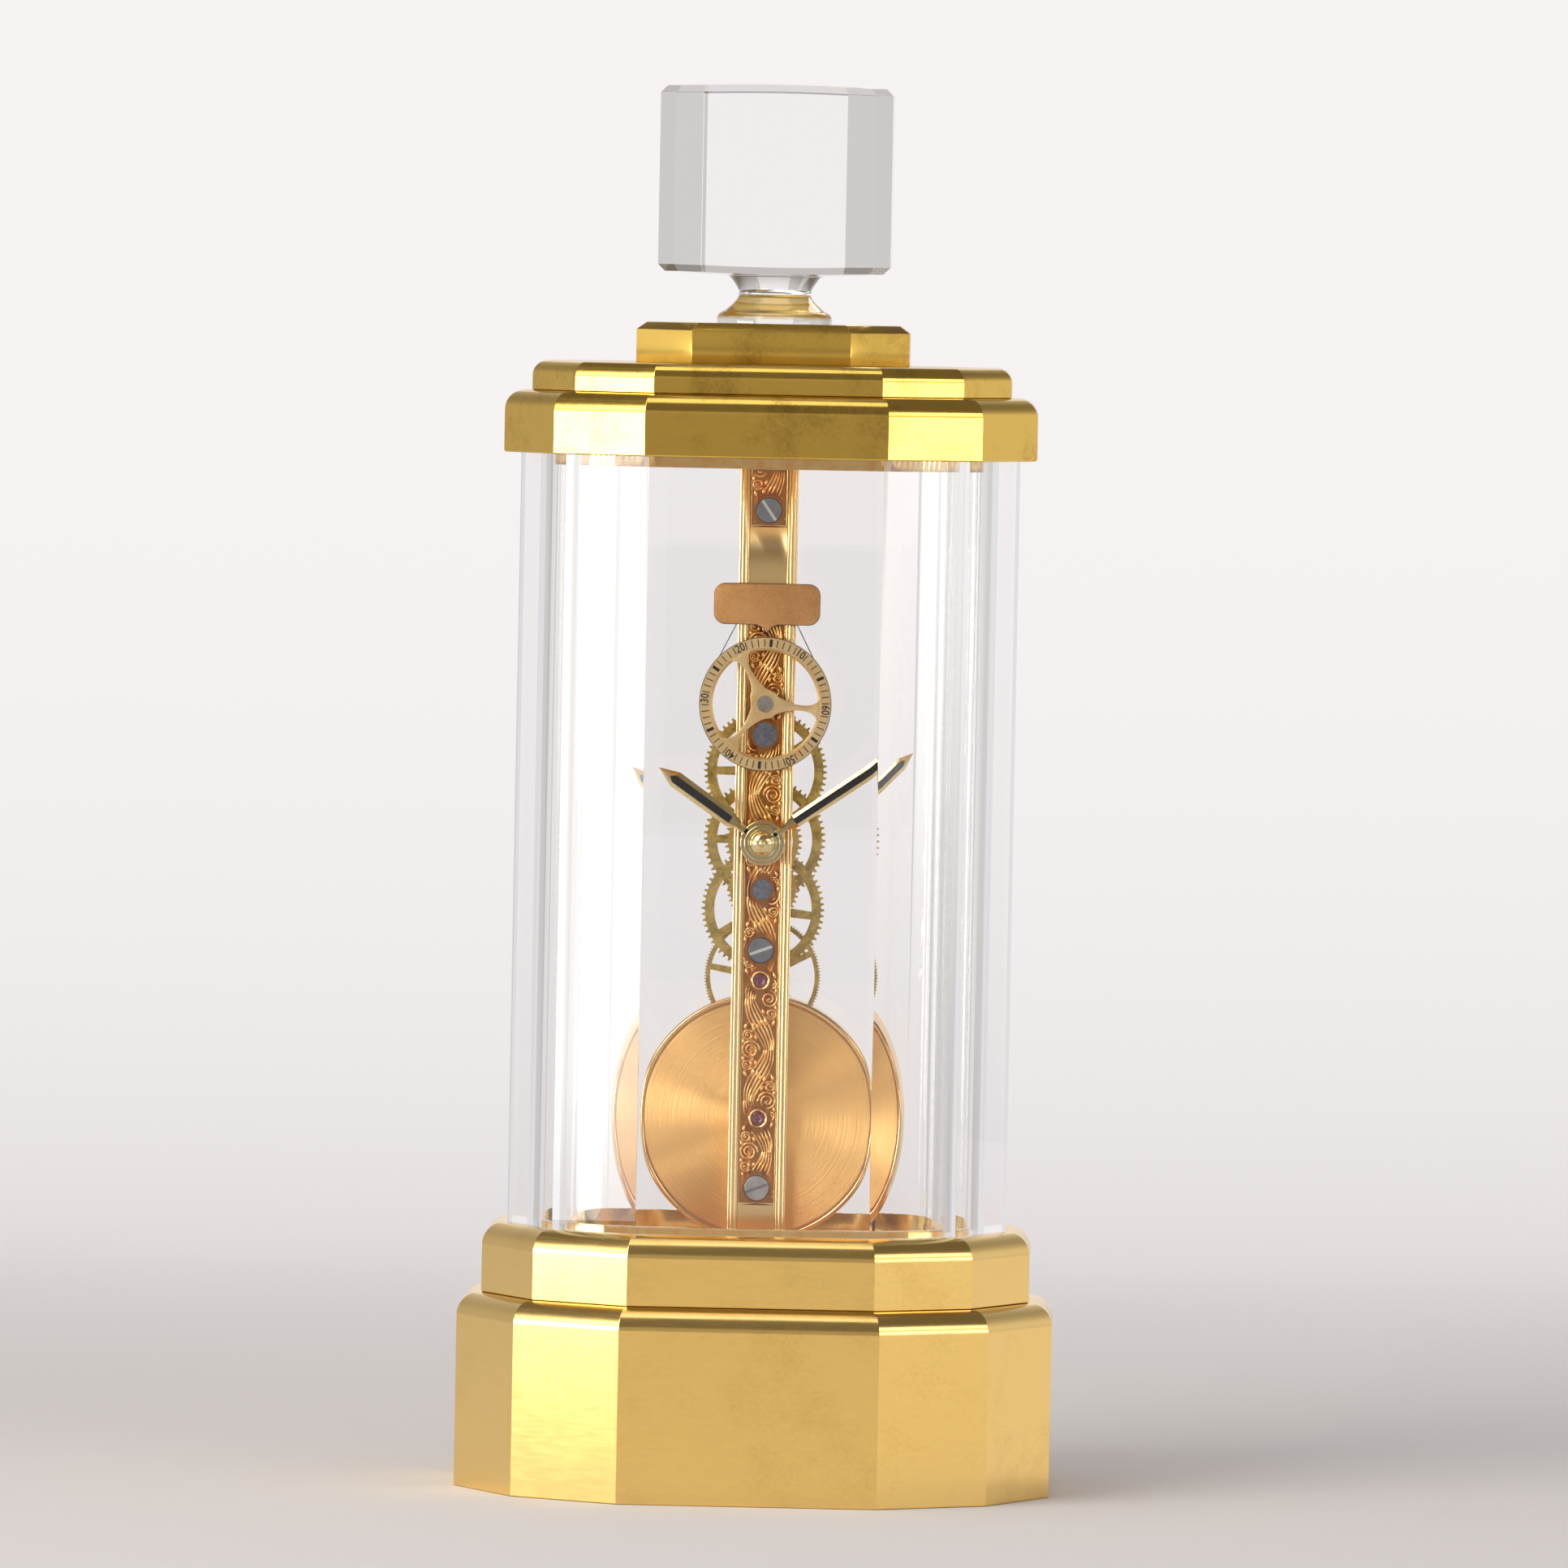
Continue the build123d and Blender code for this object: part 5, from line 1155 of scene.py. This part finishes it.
def spiral(cx, cz, big, start, way, turns, wide):  # a volute that winds inwards and ends in a bead
    curl = []
    for u in shares(39):
        r = big * (1 - u) ** scroll["windIn"] + scroll["eye"]
        a = start + way * 2 * math.pi * turns * u
        thin = wide * (1.0 - scroll["thinning"] * u)
        curl.append((cx + r * math.cos(a), cz + r * math.sin(a), thin))
    bead = scroll["bead"]
    return [curl, [(cx - bead, cz, bead), (cx, cz, scroll["beadWide"]), (cx + bead, cz, bead)]]


def leaf(x, z, heading, bend, long, wide):  # a pointed leaf that bends as it goes
    points, steps = [], 8
    for t in shares(steps):
        along = min(1.0, scroll["leafRoot"] + t * scroll["leafRun"])
        swell = math.sin(math.pi * along) ** scroll["leafFull"]
        points.append((x, z, scroll["leafPoint"] + scroll["leafWide"] * wide * swell))
        x += long / steps * math.cos(heading + bend * t)
        z += long / steps * math.sin(heading + bend * t)
    return points


def stemStrand(lane, side, base, step):  # one strand of the bundle along the stem
    stem = []
    for t in shares(26):
        a = math.pi * t
        x, z = side * scroll["sway"] * math.cos(a), base + step * t
        dx, dz = -side * scroll["sway"] * math.pi * math.sin(a), step
        norm = math.hypot(dx, dz)
        gap = lane * scroll["strandGap"] * (scroll["gapLeast"] + scroll["gapSwell"] * math.sin(a))
        wide = scroll["strand"] * (scroll["strandLeast"] + scroll["strandSwell"] * math.sin(a + lane))
        stem.append((x + gap * dz / norm, z - gap * dx / norm, wide))
    return stem


def scrollStrokes(low, high):  # strokes as lists of x, z, half width in millimetres, repeated up the stem
    strokes = []
    cells = max(1, round((high - low) / scroll["lobe"]))
    step = (high - low) / cells
    strand, thin = scroll["strand"], scroll["strand"] * scroll["curlThin"]
    for k in range(cells + 1):
        side = 1 if k % 2 else -1
        base = low + k * step
        strokes += [stemStrand(lane, side, base, step) for lane in scroll["lanes"]]
        toStem = 0.0 if side > 0 else math.pi
        x = -side * scroll["voluteIn"]
        strokes += spiral(x, base, scroll["volute"], toStem, side, scroll["turns"], strand)
        for sign in (-1, 1):  # smaller curls and leaves above and below each volute
            way, ahead = side * sign, math.pi / 2 * sign
            x, z = -side * scroll["curlIn"], base + sign * scroll["curlUp"]
            start = toStem + way * scroll["curlLean"]
            strokes += spiral(x, z, scroll["curl"], start, way, scroll["curlTurns"], thin)
            for across, up, bend, long, wide in scrollLeaves:
                strokes.append(leaf(side * across, base + sign * up, ahead, way * bend, long, wide))
            for n in range(leafFan["count"]):  # a fan of leaves along the outside of the bulge
                x = side * (scroll["sway"] + leafFan["out"] + leafFan["outStep"] * n)
                z = base + sign * (leafFan["up"] + leafFan["upStep"] * n)
                heading = ahead - way * (leafFan["lean"] - leafFan["leanStep"] * n)
                strokes.append(leaf(x, z, heading, way * leafFan["bend"], leafFan["long"], leafFan["wide"]))
    return strokes


def taper(run, atStart, atEnd):  # a stroke that is cut short runs out to a point
    thin = []
    for k, (x, z, w) in enumerate(run):
        fromStart = scroll["point"] + scroll["taper"] * k if atStart else 1.0
        fromEnd = scroll["point"] + scroll["taper"] * (len(run) - 1 - k) if atEnd else 1.0
        thin.append((x, z, w * min(1.0, fromStart, fromEnd)))
    return thin


def clipStrokes(strokes, low, high, heads):  # keeps strokes inside the band and clear of the heads
    kept = []
    half = bandHalf / mm - bridge["bandIn"]
    for stroke in strokes:
        run, atStart = [], False
        for x, z, w in stroke:
            inside = abs(x) + w < half and low + w < z < high - w
            clear = all(math.hypot(x, z - hz) > hr + w for hz, hr in heads)
            if inside and clear:
                run.append((x, z, w))
            else:
                if len(run) > 2:
                    kept.append(taper(run, atStart, True))
                run, atStart = [], True
        if len(run) > 2:
            kept.append(taper(run, atStart, False))
    return kept


def strandTree():  # sweeps a round strand along each stroke and presses it into low relief
    board, inlet, keys = growTree("scrollStrands", {"Proud": 1.0, "Floor": 0.0})
    ring = board.node("GeometryNodeCurvePrimitiveCircle", {}, {"Resolution": 8, "Radius": 1.0})
    sweep = {"Curve": inlet["Geometry"], "Profile Curve": ring, "Fill Caps": True}
    sweep["Scale"] = board.node("GeometryNodeInputRadius")
    swept = board.node("GeometryNodeCurveToMesh", {}, sweep)
    spot = board.node("GeometryNodeInputPosition")
    x, y, z = [board.part(spot, axis) for axis in range(3)]
    low = inlet["Floor"] + (y - inlet["Floor"]) * inlet["Proud"]
    pressed = board.node("ShaderNodeCombineXYZ", {}, {"X": x, "Y": low, "Z": z})
    raised = board.node("GeometryNodeSetPosition", {}, {"Geometry": swept, "Position": pressed})
    smooth = board.node("GeometryNodeSetShadeSmooth", {}, {"Geometry": raised})
    closeTree(board, smooth, finishes["scroll_gilt"])
    return board, keys


def strokeCurve(name, strokes, y):
    curve = bpy.data.curves.new(name, "CURVE")
    curve.dimensions = "3D"
    for stroke in strokes:
        spline = curve.splines.new("POLY")
        spline.points.add(len(stroke) - 1)
        for point, (x, z, w) in zip(spline.points, stroke):
            point.co = (x * mm, y, z * mm, 1.0)
            point.radius = w * mm
    return placeObject(name, curve)


def scrollHeads():  # height and radius, in millimetres, of what the scroll keeps clear of
    heads = []
    for node in ("cock_stud", "minute_stud"):
        low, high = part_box(node)
        heads.append(((low.z + high.z) / 2 / mm, high.x / mm + bridge["studClear"]))
    pairs = ((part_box("bridge_jewels"), bridge["jewelClear"], ()),
             (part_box("bridge_screws"), bridge["screwClear"], (bridge["cockScrew"],)))
    for (low, high), clear, between in pairs:
        radius = high.x / mm
        for z in (low.z / mm + radius, high.z / mm - radius, *between):
            heads.append((z, radius + clear))
    return heads + [(handMiddle / mm, bridge["handsClear"]), (ringMiddle / mm, bridge["ringClear"])]


def makeBridge():
    piece = smoothCopy("bridge", "bridge_frame", finishes["movement_gilt"], angle=25.0)
    settle(piece, "case", "movement_gilt", "bridge")
    heads = scrollHeads()
    strokes = []
    for low, high in engravedSpans:
        strokes += clipStrokes(scrollStrokes(low, high), low, high, heads)
    wide, edge = bridge["borderWide"], bandHalf / mm - bridge["borderIn"]
    for x in (-edge, edge):  # a fine raised line along both borders
        for low, high in engravedSpans:
            strokes.append([(x, z, wide) for z in (low, (low + high) / 2, high)])
    floorY = bridgeLow.y + bridge["floor"] * mm
    board, keys = strandTree()
    source = strokeCurve("scroll_strokes", strokes, floorY)
    relief = bakeTree(source, board, {keys["Proud"]: scroll["proud"], keys["Floor"]: floorY}, "scroll_relief")
    settle(relief, "case", "movement_gilt")
    print("scroll strokes:", len(strokes), "faces:", len(relief.data.polygons))


makeBridge()

# index plate and guard wire

plate = {"halfX": 9.5, "halfZ": 3.6, "thick": 0.8, "corner": 2.0, "pointer": 1.5, "edge": 0.16, "post": 0.9,
         "postX": 2.0, "postUp": 0.6, "line": 0.07, "lineSink": 0.12}
platePointer = ((1.9, 0.0), (1.0, 0.25), (0.35, 0.7))  # half width, share of the way down


def makePlate():
    low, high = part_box("index_plate")
    size = inMetres(plate)
    front, back = low.y, low.y + size["thick"]
    middle = high.z - size["halfZ"]
    c, tip, foot = size["corner"], size["pointer"], middle - size["halfZ"]
    cx, cz = size["halfX"] - c, size["halfZ"] - c

    def corner(x, z, start):
        turn = [math.radians(angle) for angle in range(start, start + 91, 9)]
        return [(x + c * math.cos(a), middle + z + c * math.sin(a)) for a in turn]

    outline = corner(cx, cz, 0) + corner(-cx, cz, 90) + corner(-cx, -cz, 180)
    outline += [(-half * mm, foot - share * tip) for half, share in platePointer]
    outline.append((0.0, foot - tip))
    outline += [(half * mm, foot - share * tip) for half, share in reversed(platePointer)]
    outline += corner(cx, -cz, 270)
    pieces = [bevelPlate("index_plate_face", outline, front, back, size["edge"], finishes["plate_rose"])]
    rows = [(size["post"], -high.y, -90, 0), (size["post"], -back, 0, 90)]
    up, gilt = middle + size["postUp"], finishes["motion_gilt"]
    for k in (-1, 1):
        pieces.append(lathe("index_post_%d" % k, rows, up, gilt, steps=32, across=k * size["postX"]))
    settle(joinPieces(pieces, "index_plate_face"), "case", "plate_rose", "index_plate")
    # painted shade: a thin dark wire along the plate's bevelled edge stands in for the shade on it
    line = [(x, front + size["lineSink"], z) for x, z in outline]
    settle(tubeAlong("index_plate_edge_shade", line, size["line"], finishes["guard_wire"]), "case", "plate_rose")
    return middle


guard = {"wire": 0.09, "inset": 0.15, "plateInset": 0.4}


def makeGuard(plateMiddle):
    low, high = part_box("ring_guard")
    radius = high.x - guard["inset"] * mm
    near = (plate["halfZ"] - guard["plateInset"]) * mm
    lean = math.asin((radius - near) / (plateMiddle - ringMiddle))
    y = (low.y + high.y) / 2
    points, roundSteps, topSteps = [], 63, 23
    for k in range(roundSteps + 1):
        a = math.pi - lean + (math.pi + 2 * lean) * k / roundSteps
        points.append((radius * math.cos(a), y, ringMiddle + radius * math.sin(a)))
    for k in range(topSteps + 1):
        a = lean + (math.pi - 2 * lean) * k / topSteps
        points.append((near * math.cos(a), y, plateMiddle + near * math.sin(a)))
    wire = tubeAlong("guard_loop", points, guard["wire"] * mm, finishes["guard_wire"])
    settle(wire, "case", "guard_wire", "ring_guard")


plateMiddle = makePlate()
makeGuard(plateMiddle)
print("plate and guard made")

# screws on the bridge: round head, slot painted bright as a painted highlight (dark, as painted shade, on the
# lowest)

screws = {"radius": 2.25, "edge": 0.12, "deep": 1.2, "middle": 0.4, "slotWide": 0.52, "slotIn": 0.1,
          "slotProud": 0.012, "slotUnder": 0.1}
screwTurns = (20.0, 20.0, -55.0)


def makeScrews():
    low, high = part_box("bridge_screws")
    size = inMetres(screws)
    radius, edge, front = size["radius"], size["edge"], -low.y
    heights = (low.z + radius, bridge["cockScrew"] * mm, high.z - radius)
    rows = [(radius, front - size["deep"], -90, 0), (radius, front - edge, 0, 30),
            (radius - edge, front, 60, 90), (size["middle"], front, 90, 90)]
    half, wide = radius - size["slotIn"], size["slotWide"] / 2
    faces = [(0, 1, 2, 3), (7, 6, 5, 4), (0, 4, 5, 1), (1, 5, 6, 2), (2, 6, 7, 3), (3, 7, 4, 0)]
    heads, slots = [], []
    for k, (z, turn) in enumerate(zip(heights, screwTurns)):
        # the lowest screw's head is paler; the slots carry painted light: bright on the upper two, dark as
        # painted shade on the lowest
        steel, bright = ("screw_steel", "slot_steel") if k else ("pale_steel", "screw_steel")
        heads.append(lathe("screw_head_%d" % k, rows, z, finishes[steel], steps=64))
        c, s = math.cos(math.radians(turn)), math.sin(math.radians(turn))
        verts = []
        for y in (-front - size["slotProud"], -front + size["slotUnder"]):
            for along, across in ((-half, -wide), (half, -wide), (half, wide), (-half, wide)):
                verts.append((along * c - across * s, y, z + along * s + across * c))
        slots.append(makePiece("screw_slot_%d" % k, verts, faces, finishes[bright]))
    settle(joinPieces(heads, "bridge_screw_heads"), "case", "screw_steel", "bridge_screws")
    slot = joinPieces(slots, "bridge_screw_slots")
    slot.data.set_sharp_from_angle(angle=math.radians(20.0))
    settle(slot, "case", "screw_steel")


makeScrews()
print("screws made")

# CAD shapes that stay, with their own finish

keptNodes = {
    "wheel_brass": ("third_wheel", "centre_wheel", "second_wheel", "first_wheel", "inter_wheel"),
    "motion_gilt": ("hour_wheel", "minute_wheel", "cannon_pinion",
                    "upper_cock", "lower_cock", "head_block", "foot_bracket", "rear_plate"),
    "arbor_steel": ("seconds_arbor", "third_arbor", "centre_arbor", "second_arbor", "first_arbor",
                    "inter_arbor", "motor_pillars", "base_screws", "cover_screws", "cap_screws",
                    "rear_screws", "battery_contacts"),
    "stud_steel": ("cock_stud", "minute_stud", "motor_stator"),
    "guard_wire": ("rotor",),
    "ruby": ("rear_jewels",),
    "copper": ("motor_coil",),
    "black_plastic": ("battery_holder", "base_cover", "battery_hatch", "setting_button"),
    "board_green": ("circuit_board",),
    "cell_sleeve": ("battery",),
    "wire_sleeve": ("feed_wires",),
}


def dressNodes():
    for finish, nodes in keptNodes.items():
        for node in nodes:
            mesh = frame["nodes"][node].data
            mesh.materials.clear()
            mesh.materials.append(finishes[finish])
    for node in ("base_floor", "cap_spigot"):
        settle(smoothCopy(node, node + "_gilt", finishes["scroll_gilt"]), "case", "case_gilt", node)


dressNodes()
print("CAD shapes dressed")

# stage: pale floor and backdrop in one sweep, soft boxes, dark room behind the camera

stage = {
    "front": 3.2, "halfWide": 3.0, "high": 3.0, "bend": 0.5, "bendRadius": 0.55,
    "paperGrain": 900.0, "paperRough": 0.55,
    "floorUnder": 0.002, "viewShift": 0.03, "fill": 0.52, "fillTone": rgb(0.95, 0.95, 1.0),
    "floor": rgb(0.74, 0.705, 0.685), "backdrop": rgb(0.93, 0.895, 0.895), "beside": rgb(0.62, 0.605, 0.59),
    "leftSide": rgb(0.50, 0.475, 0.455), "rightSide": rgb(0.74, 0.715, 0.69),
    "backTop": rgb(0.16, 0.14, 0.12),
    "besideFade": (0.210, 0.228), "sideFade": (0.7, 1.4), "topFade": (0.5, 1.1), "backFade": (0.10, 0.95),
}


def upright(x0, y0, x1, y1, low, high):
    return [(x0, y0, low), (x1, y1, low), (x1, y1, high), (x0, y0, high)]


def level(x0, x1, y0, y1, z):
    return [(x0, y0, z), (x1, y0, z), (x1, y1, z), (x0, y1, z)]


def sweepPaper():  # lit like paper, but glows evenly towards the back for the camera, metal and glass
    material, board, shader, spot = startFinish("floor_paper")
    grain = board.noise(spot, stage["paperGrain"], detail=3.0)
    shader.inputs["Roughness"].default_value = stage["paperRough"]
    shader.inputs["Specular IOR Level"].default_value = 0.0
    shader.inputs["Base Color"].default_value = stage["floor"]
    board.feed(shader, {"Normal": board.bump(grain, depth=0.02 * mm, strength=0.1)})
    across, back, up = [board.part(spot, axis) for axis in range(3)]
    offside = board.math("ABSOLUTE", across + stage["viewShift"])
    paper = board.blend(board.spread(offside, *stage["besideFade"]), stage["backdrop"], stage["beside"])
    paper = board.blend(board.spread(0.0 - across, *stage["sideFade"]), paper, stage["leftSide"])
    paper = board.blend(board.spread(across, *stage["sideFade"]), paper, stage["rightSide"])
    paper = board.blend(board.spread(up, *stage["topFade"]), paper, stage["backTop"])  # darker far up
    share = board.spread(back, *stage["backFade"]) * board.shown()
    mixed = board.mixed(share, Tap(board, shader.outputs[0]), board.glow(paper))
    # one-sided, so that the clock's back can be seen
    behind = board.node("ShaderNodeNewGeometry", outlet="Backfacing")
    board.surface(board.mixed(behind, mixed, board.node("ShaderNodeBsdfTransparent")))
    return material


def makeSweep():
    outline = [(stage["bend"], 0.0)]
    r, steps = stage["bendRadius"], 24
    for s in range(1, steps + 1):
        a = math.pi / 2 * s / steps
        outline.append((stage["bend"] + r * math.sin(a), r - r * math.cos(a)))
    outline.append((stage["bend"] + r, stage["high"]))
    wide = stage["halfWide"]
    verts = [(side * wide, y, z) for y, z in outline for side in (-1, 1)]
    faces = [(2 * k, 2 * k + 1, 2 * k + 3, 2 * k + 2) for k in range(len(outline) - 1)]
    apothem, halfStretch, z, top = tierSizes("base_plinth")
    under = planRing(apothem - stage["floorUnder"], halfStretch, 0.0, tierEdges["cornerSoft"] * mm)
    hole = [Vector((x, y, 0.0)) for x, y, t in reversed(under)]  # lets light reach the clock's underside
    ground = [Vector(corner) for corner in level(-wide, wide, -stage["front"], stage["bend"], 0.0)]
    first = len(verts)
    verts += [tuple(point) for point in ground + hole]
    faces += [tuple(first + k for k in corners) for corners in tessellate_polygon([ground, hole])]
    sweep = makePiece("floor_sweep", verts, faces, sweepPaper())


def makeCard(name, corners, colour):  # a plain card that shows only in metal and glass
    material, board, shader, spot = startFinish(name)
    board.surface(board.glow(colour))
    card = makePiece(name, corners, [(0, 1, 2, 3)], material)
    card.visible_camera = False
    card.visible_diffuse = False
    card.visible_transmission = not name.startswith("floor")
    card.visible_shadow = False


def makeSoftbox(name, side, look):  # an upright glowing panel, dimmer towards its foot
    material, board, shader, spot = startFinish(name)
    tone = board.blend(board.spread(board.part(spot, 2), *look["fade"]), look["dim"], look["colour"])
    board.surface(board.glow(tone, look["strength"]))
    a, far = math.radians(look["turn"]), look["far"]
    ends = []
    for half in (-look["half"], look["half"]):
        ends += [-side * (far * math.sin(a) - half * math.cos(a)), -(far * math.cos(a) + half * math.sin(a))]
    low, high = look["span"]
    panel = makePiece(name, upright(*ends, low, high), [(0, 1, 2, 3)], material)
    panel.visible_camera = False
    panel.visible_shadow = False
    panel.visible_diffuse = low > 0.0  # a panel that stands on the floor would burn a spot into it


def makeLamp(name, look):
    data = bpy.data.lights.new(name, "AREA")
    data.shape = "RECTANGLE"
    data.size = look["wide"]
    data.size_y = look["wide"]
    data.energy = look["power"]
    data.color = look["colour"]
    lamp = placeObject(name, data)
    lamp.location = look["place"]
    lamp.rotation_mode = "QUATERNION"
    lamp.rotation_quaternion = (Vector(look["aim"]) - Vector(look["place"])).to_track_quat("-Z", "Y")


def makeWorld():
    world = bpy.data.worlds.new("studio")
    bpy.context.scene.world = world
    world.use_nodes = True
    world.node_tree.nodes.clear()
    board = Board(world.node_tree)
    fill = board.node("ShaderNodeBackground", {}, {"Color": stage["fillTone"], "Strength": stage["fill"]})
    pale = board.node("ShaderNodeBackground", {}, {"Color": stage["backdrop"], "Strength": 1.0})
    out = world.node_tree.nodes.new("ShaderNodeOutputWorld")
    board.feed(out, {0: board.mixed(board.shown(), fill, pale)})


room = {
    "left": -3.0, "right": 3.0, "front": -2.7, "sideEnd": 0.3, "roofEnd": 1.0,
    "low": 0.11, "middle": 0.9, "top": 2.2,
    "tone": rgb(0.42, 0.38, 0.32), "dark": rgb(0.16, 0.14, 0.12), "lowTone": rgb(0.10, 0.09, 0.08),
    # the floor colours on this line and the next are painted pools of light on the floor, seen only in metal
    # and glass
    "rightTone": rgb(0.70, 0.66, 0.60), "floorFrontGlow": rgb(0.78, 0.69, 0.57),
    "floorRightGlow": rgb(0.85, 0.78, 0.73),
    "floorSide": 1.6, "floorNear": -1.7, "floorMeet": -0.06, "floorFar": 0.45,
    "floorStart": 0.08, "floorUp": 0.0004,
}


def makeRoom():  # what the metal and the glass see behind the camera and beside it, and a pool of light painted on the floor that only they see
    left, right, front, end = room["left"], room["right"], room["front"], room["sideEnd"]
    low, middle, top, dark = room["low"], room["middle"], room["top"], room["dark"]
    side, meet, up = room["floorSide"], room["floorMeet"], room["floorUp"]
    makeCard("room_low", upright(left, front, right, front, 0.0, low), room["lowTone"])
    makeCard("room_front", upright(left, front, right, front, low, middle), room["tone"])
    makeCard("room_high", upright(left, front, right, front, middle, top), dark)
    makeCard("room_top", level(left, right, front, room["roofEnd"], top), dark)
    makeCard("room_right", upright(right, front, right, end, 0.0, middle), room["rightTone"])
    makeCard("room_right_high", upright(right, front, right, end, middle, top), dark)
    makeCard("room_left_high", upright(left, front, left, end, middle, top), dark)
    # painted light: glowing sheets just above the floor, seen only in metal and glass, lay a pool of light
    # over the floor's reflection
    makeCard("floor_front_glow", level(-side, side, room["floorNear"], meet, up), room["floorFrontGlow"])
    makeCard("floor_right_glow", level(room["floorStart"], side, meet, room["floorFar"], up), room["floorRightGlow"])


softboxes = {
    "left_low": {"turn": 60.0, "far": 0.70, "half": 0.24, "span": (0.0, 0.215), "fade": (0.0, 0.04),
                 "strength": 8.2, "dim": rgb(0.5, 0.49, 0.47), "colour": rgb(1.0, 0.98, 0.94)},
    "left_high": {"turn": 46.0, "far": 0.80, "half": 0.30, "span": (0.33, 1.20), "fade": (0.30, 0.45),
                  "strength": 4.6, "dim": rgb(0.5, 0.49, 0.47), "colour": rgb(1.0, 0.98, 0.94)},
    "right_low": {"turn": 60.0, "far": 0.78, "half": 0.24, "span": (0.0, 0.215), "fade": (0.03, 0.17),
                  "strength": 3.6, "dim": rgb(0.20, 0.192, 0.184), "colour": rgb(1.0, 0.98, 0.95)},
    "right_high": {"turn": 48.0, "far": 0.85, "half": 0.28, "span": (0.33, 0.62), "fade": (0.30, 0.45),
                   "strength": 2.8, "dim": rgb(0.5, 0.49, 0.47), "colour": rgb(1.0, 0.98, 0.95)},
}
topLamp = {"place": (-0.30, -0.20, 1.5), "aim": (0.0, 0.0, 0.0), "wide": 0.9, "power": 3.0,
           "colour": (1.0, 0.99, 0.97)}
makeSweep()
makeWorld()
makeRoom()
for boxName, boxLook in softboxes.items():
    makeSoftbox("softbox_" + boxName, 1 if "left" in boxName else -1, boxLook)
makeLamp("softbox_top", topLamp)
print("stage made")

# camera, at the photograph's place: a long lens from a little above, rolled very slightly

camera = {"side": 1.6, "distance": 2.334, "eye": 0.218, "aimAcross": 0.00325, "aimUp": 0.1255,
          "lens": 301.0, "sensor": 36.0, "reach": 50.0, "roll": 1.08}


def makeCamera():
    a = math.radians(camera["side"])
    place = Vector((camera["distance"] * math.sin(a), -camera["distance"] * math.cos(a), camera["eye"]))
    aim = Vector((camera["aimAcross"] * math.cos(a), camera["aimAcross"] * math.sin(a), camera["aimUp"]))
    data = bpy.data.cameras.new("camera")
    data.lens = camera["lens"]
    data.sensor_width = camera["sensor"]
    data.clip_end = camera["reach"]
    view = placeObject("camera", data)
    view.location = place
    view.rotation_mode = "QUATERNION"
    roll = Quaternion((0.0, 0.0, 1.0), math.radians(camera["roll"]))
    view.rotation_quaternion = (aim - place).to_track_quat("-Z", "Y") @ roll
    bpy.context.scene.camera = view


makeCamera()
bpy.context.scene.view_settings.view_transform = "Standard"
print("scene ready")
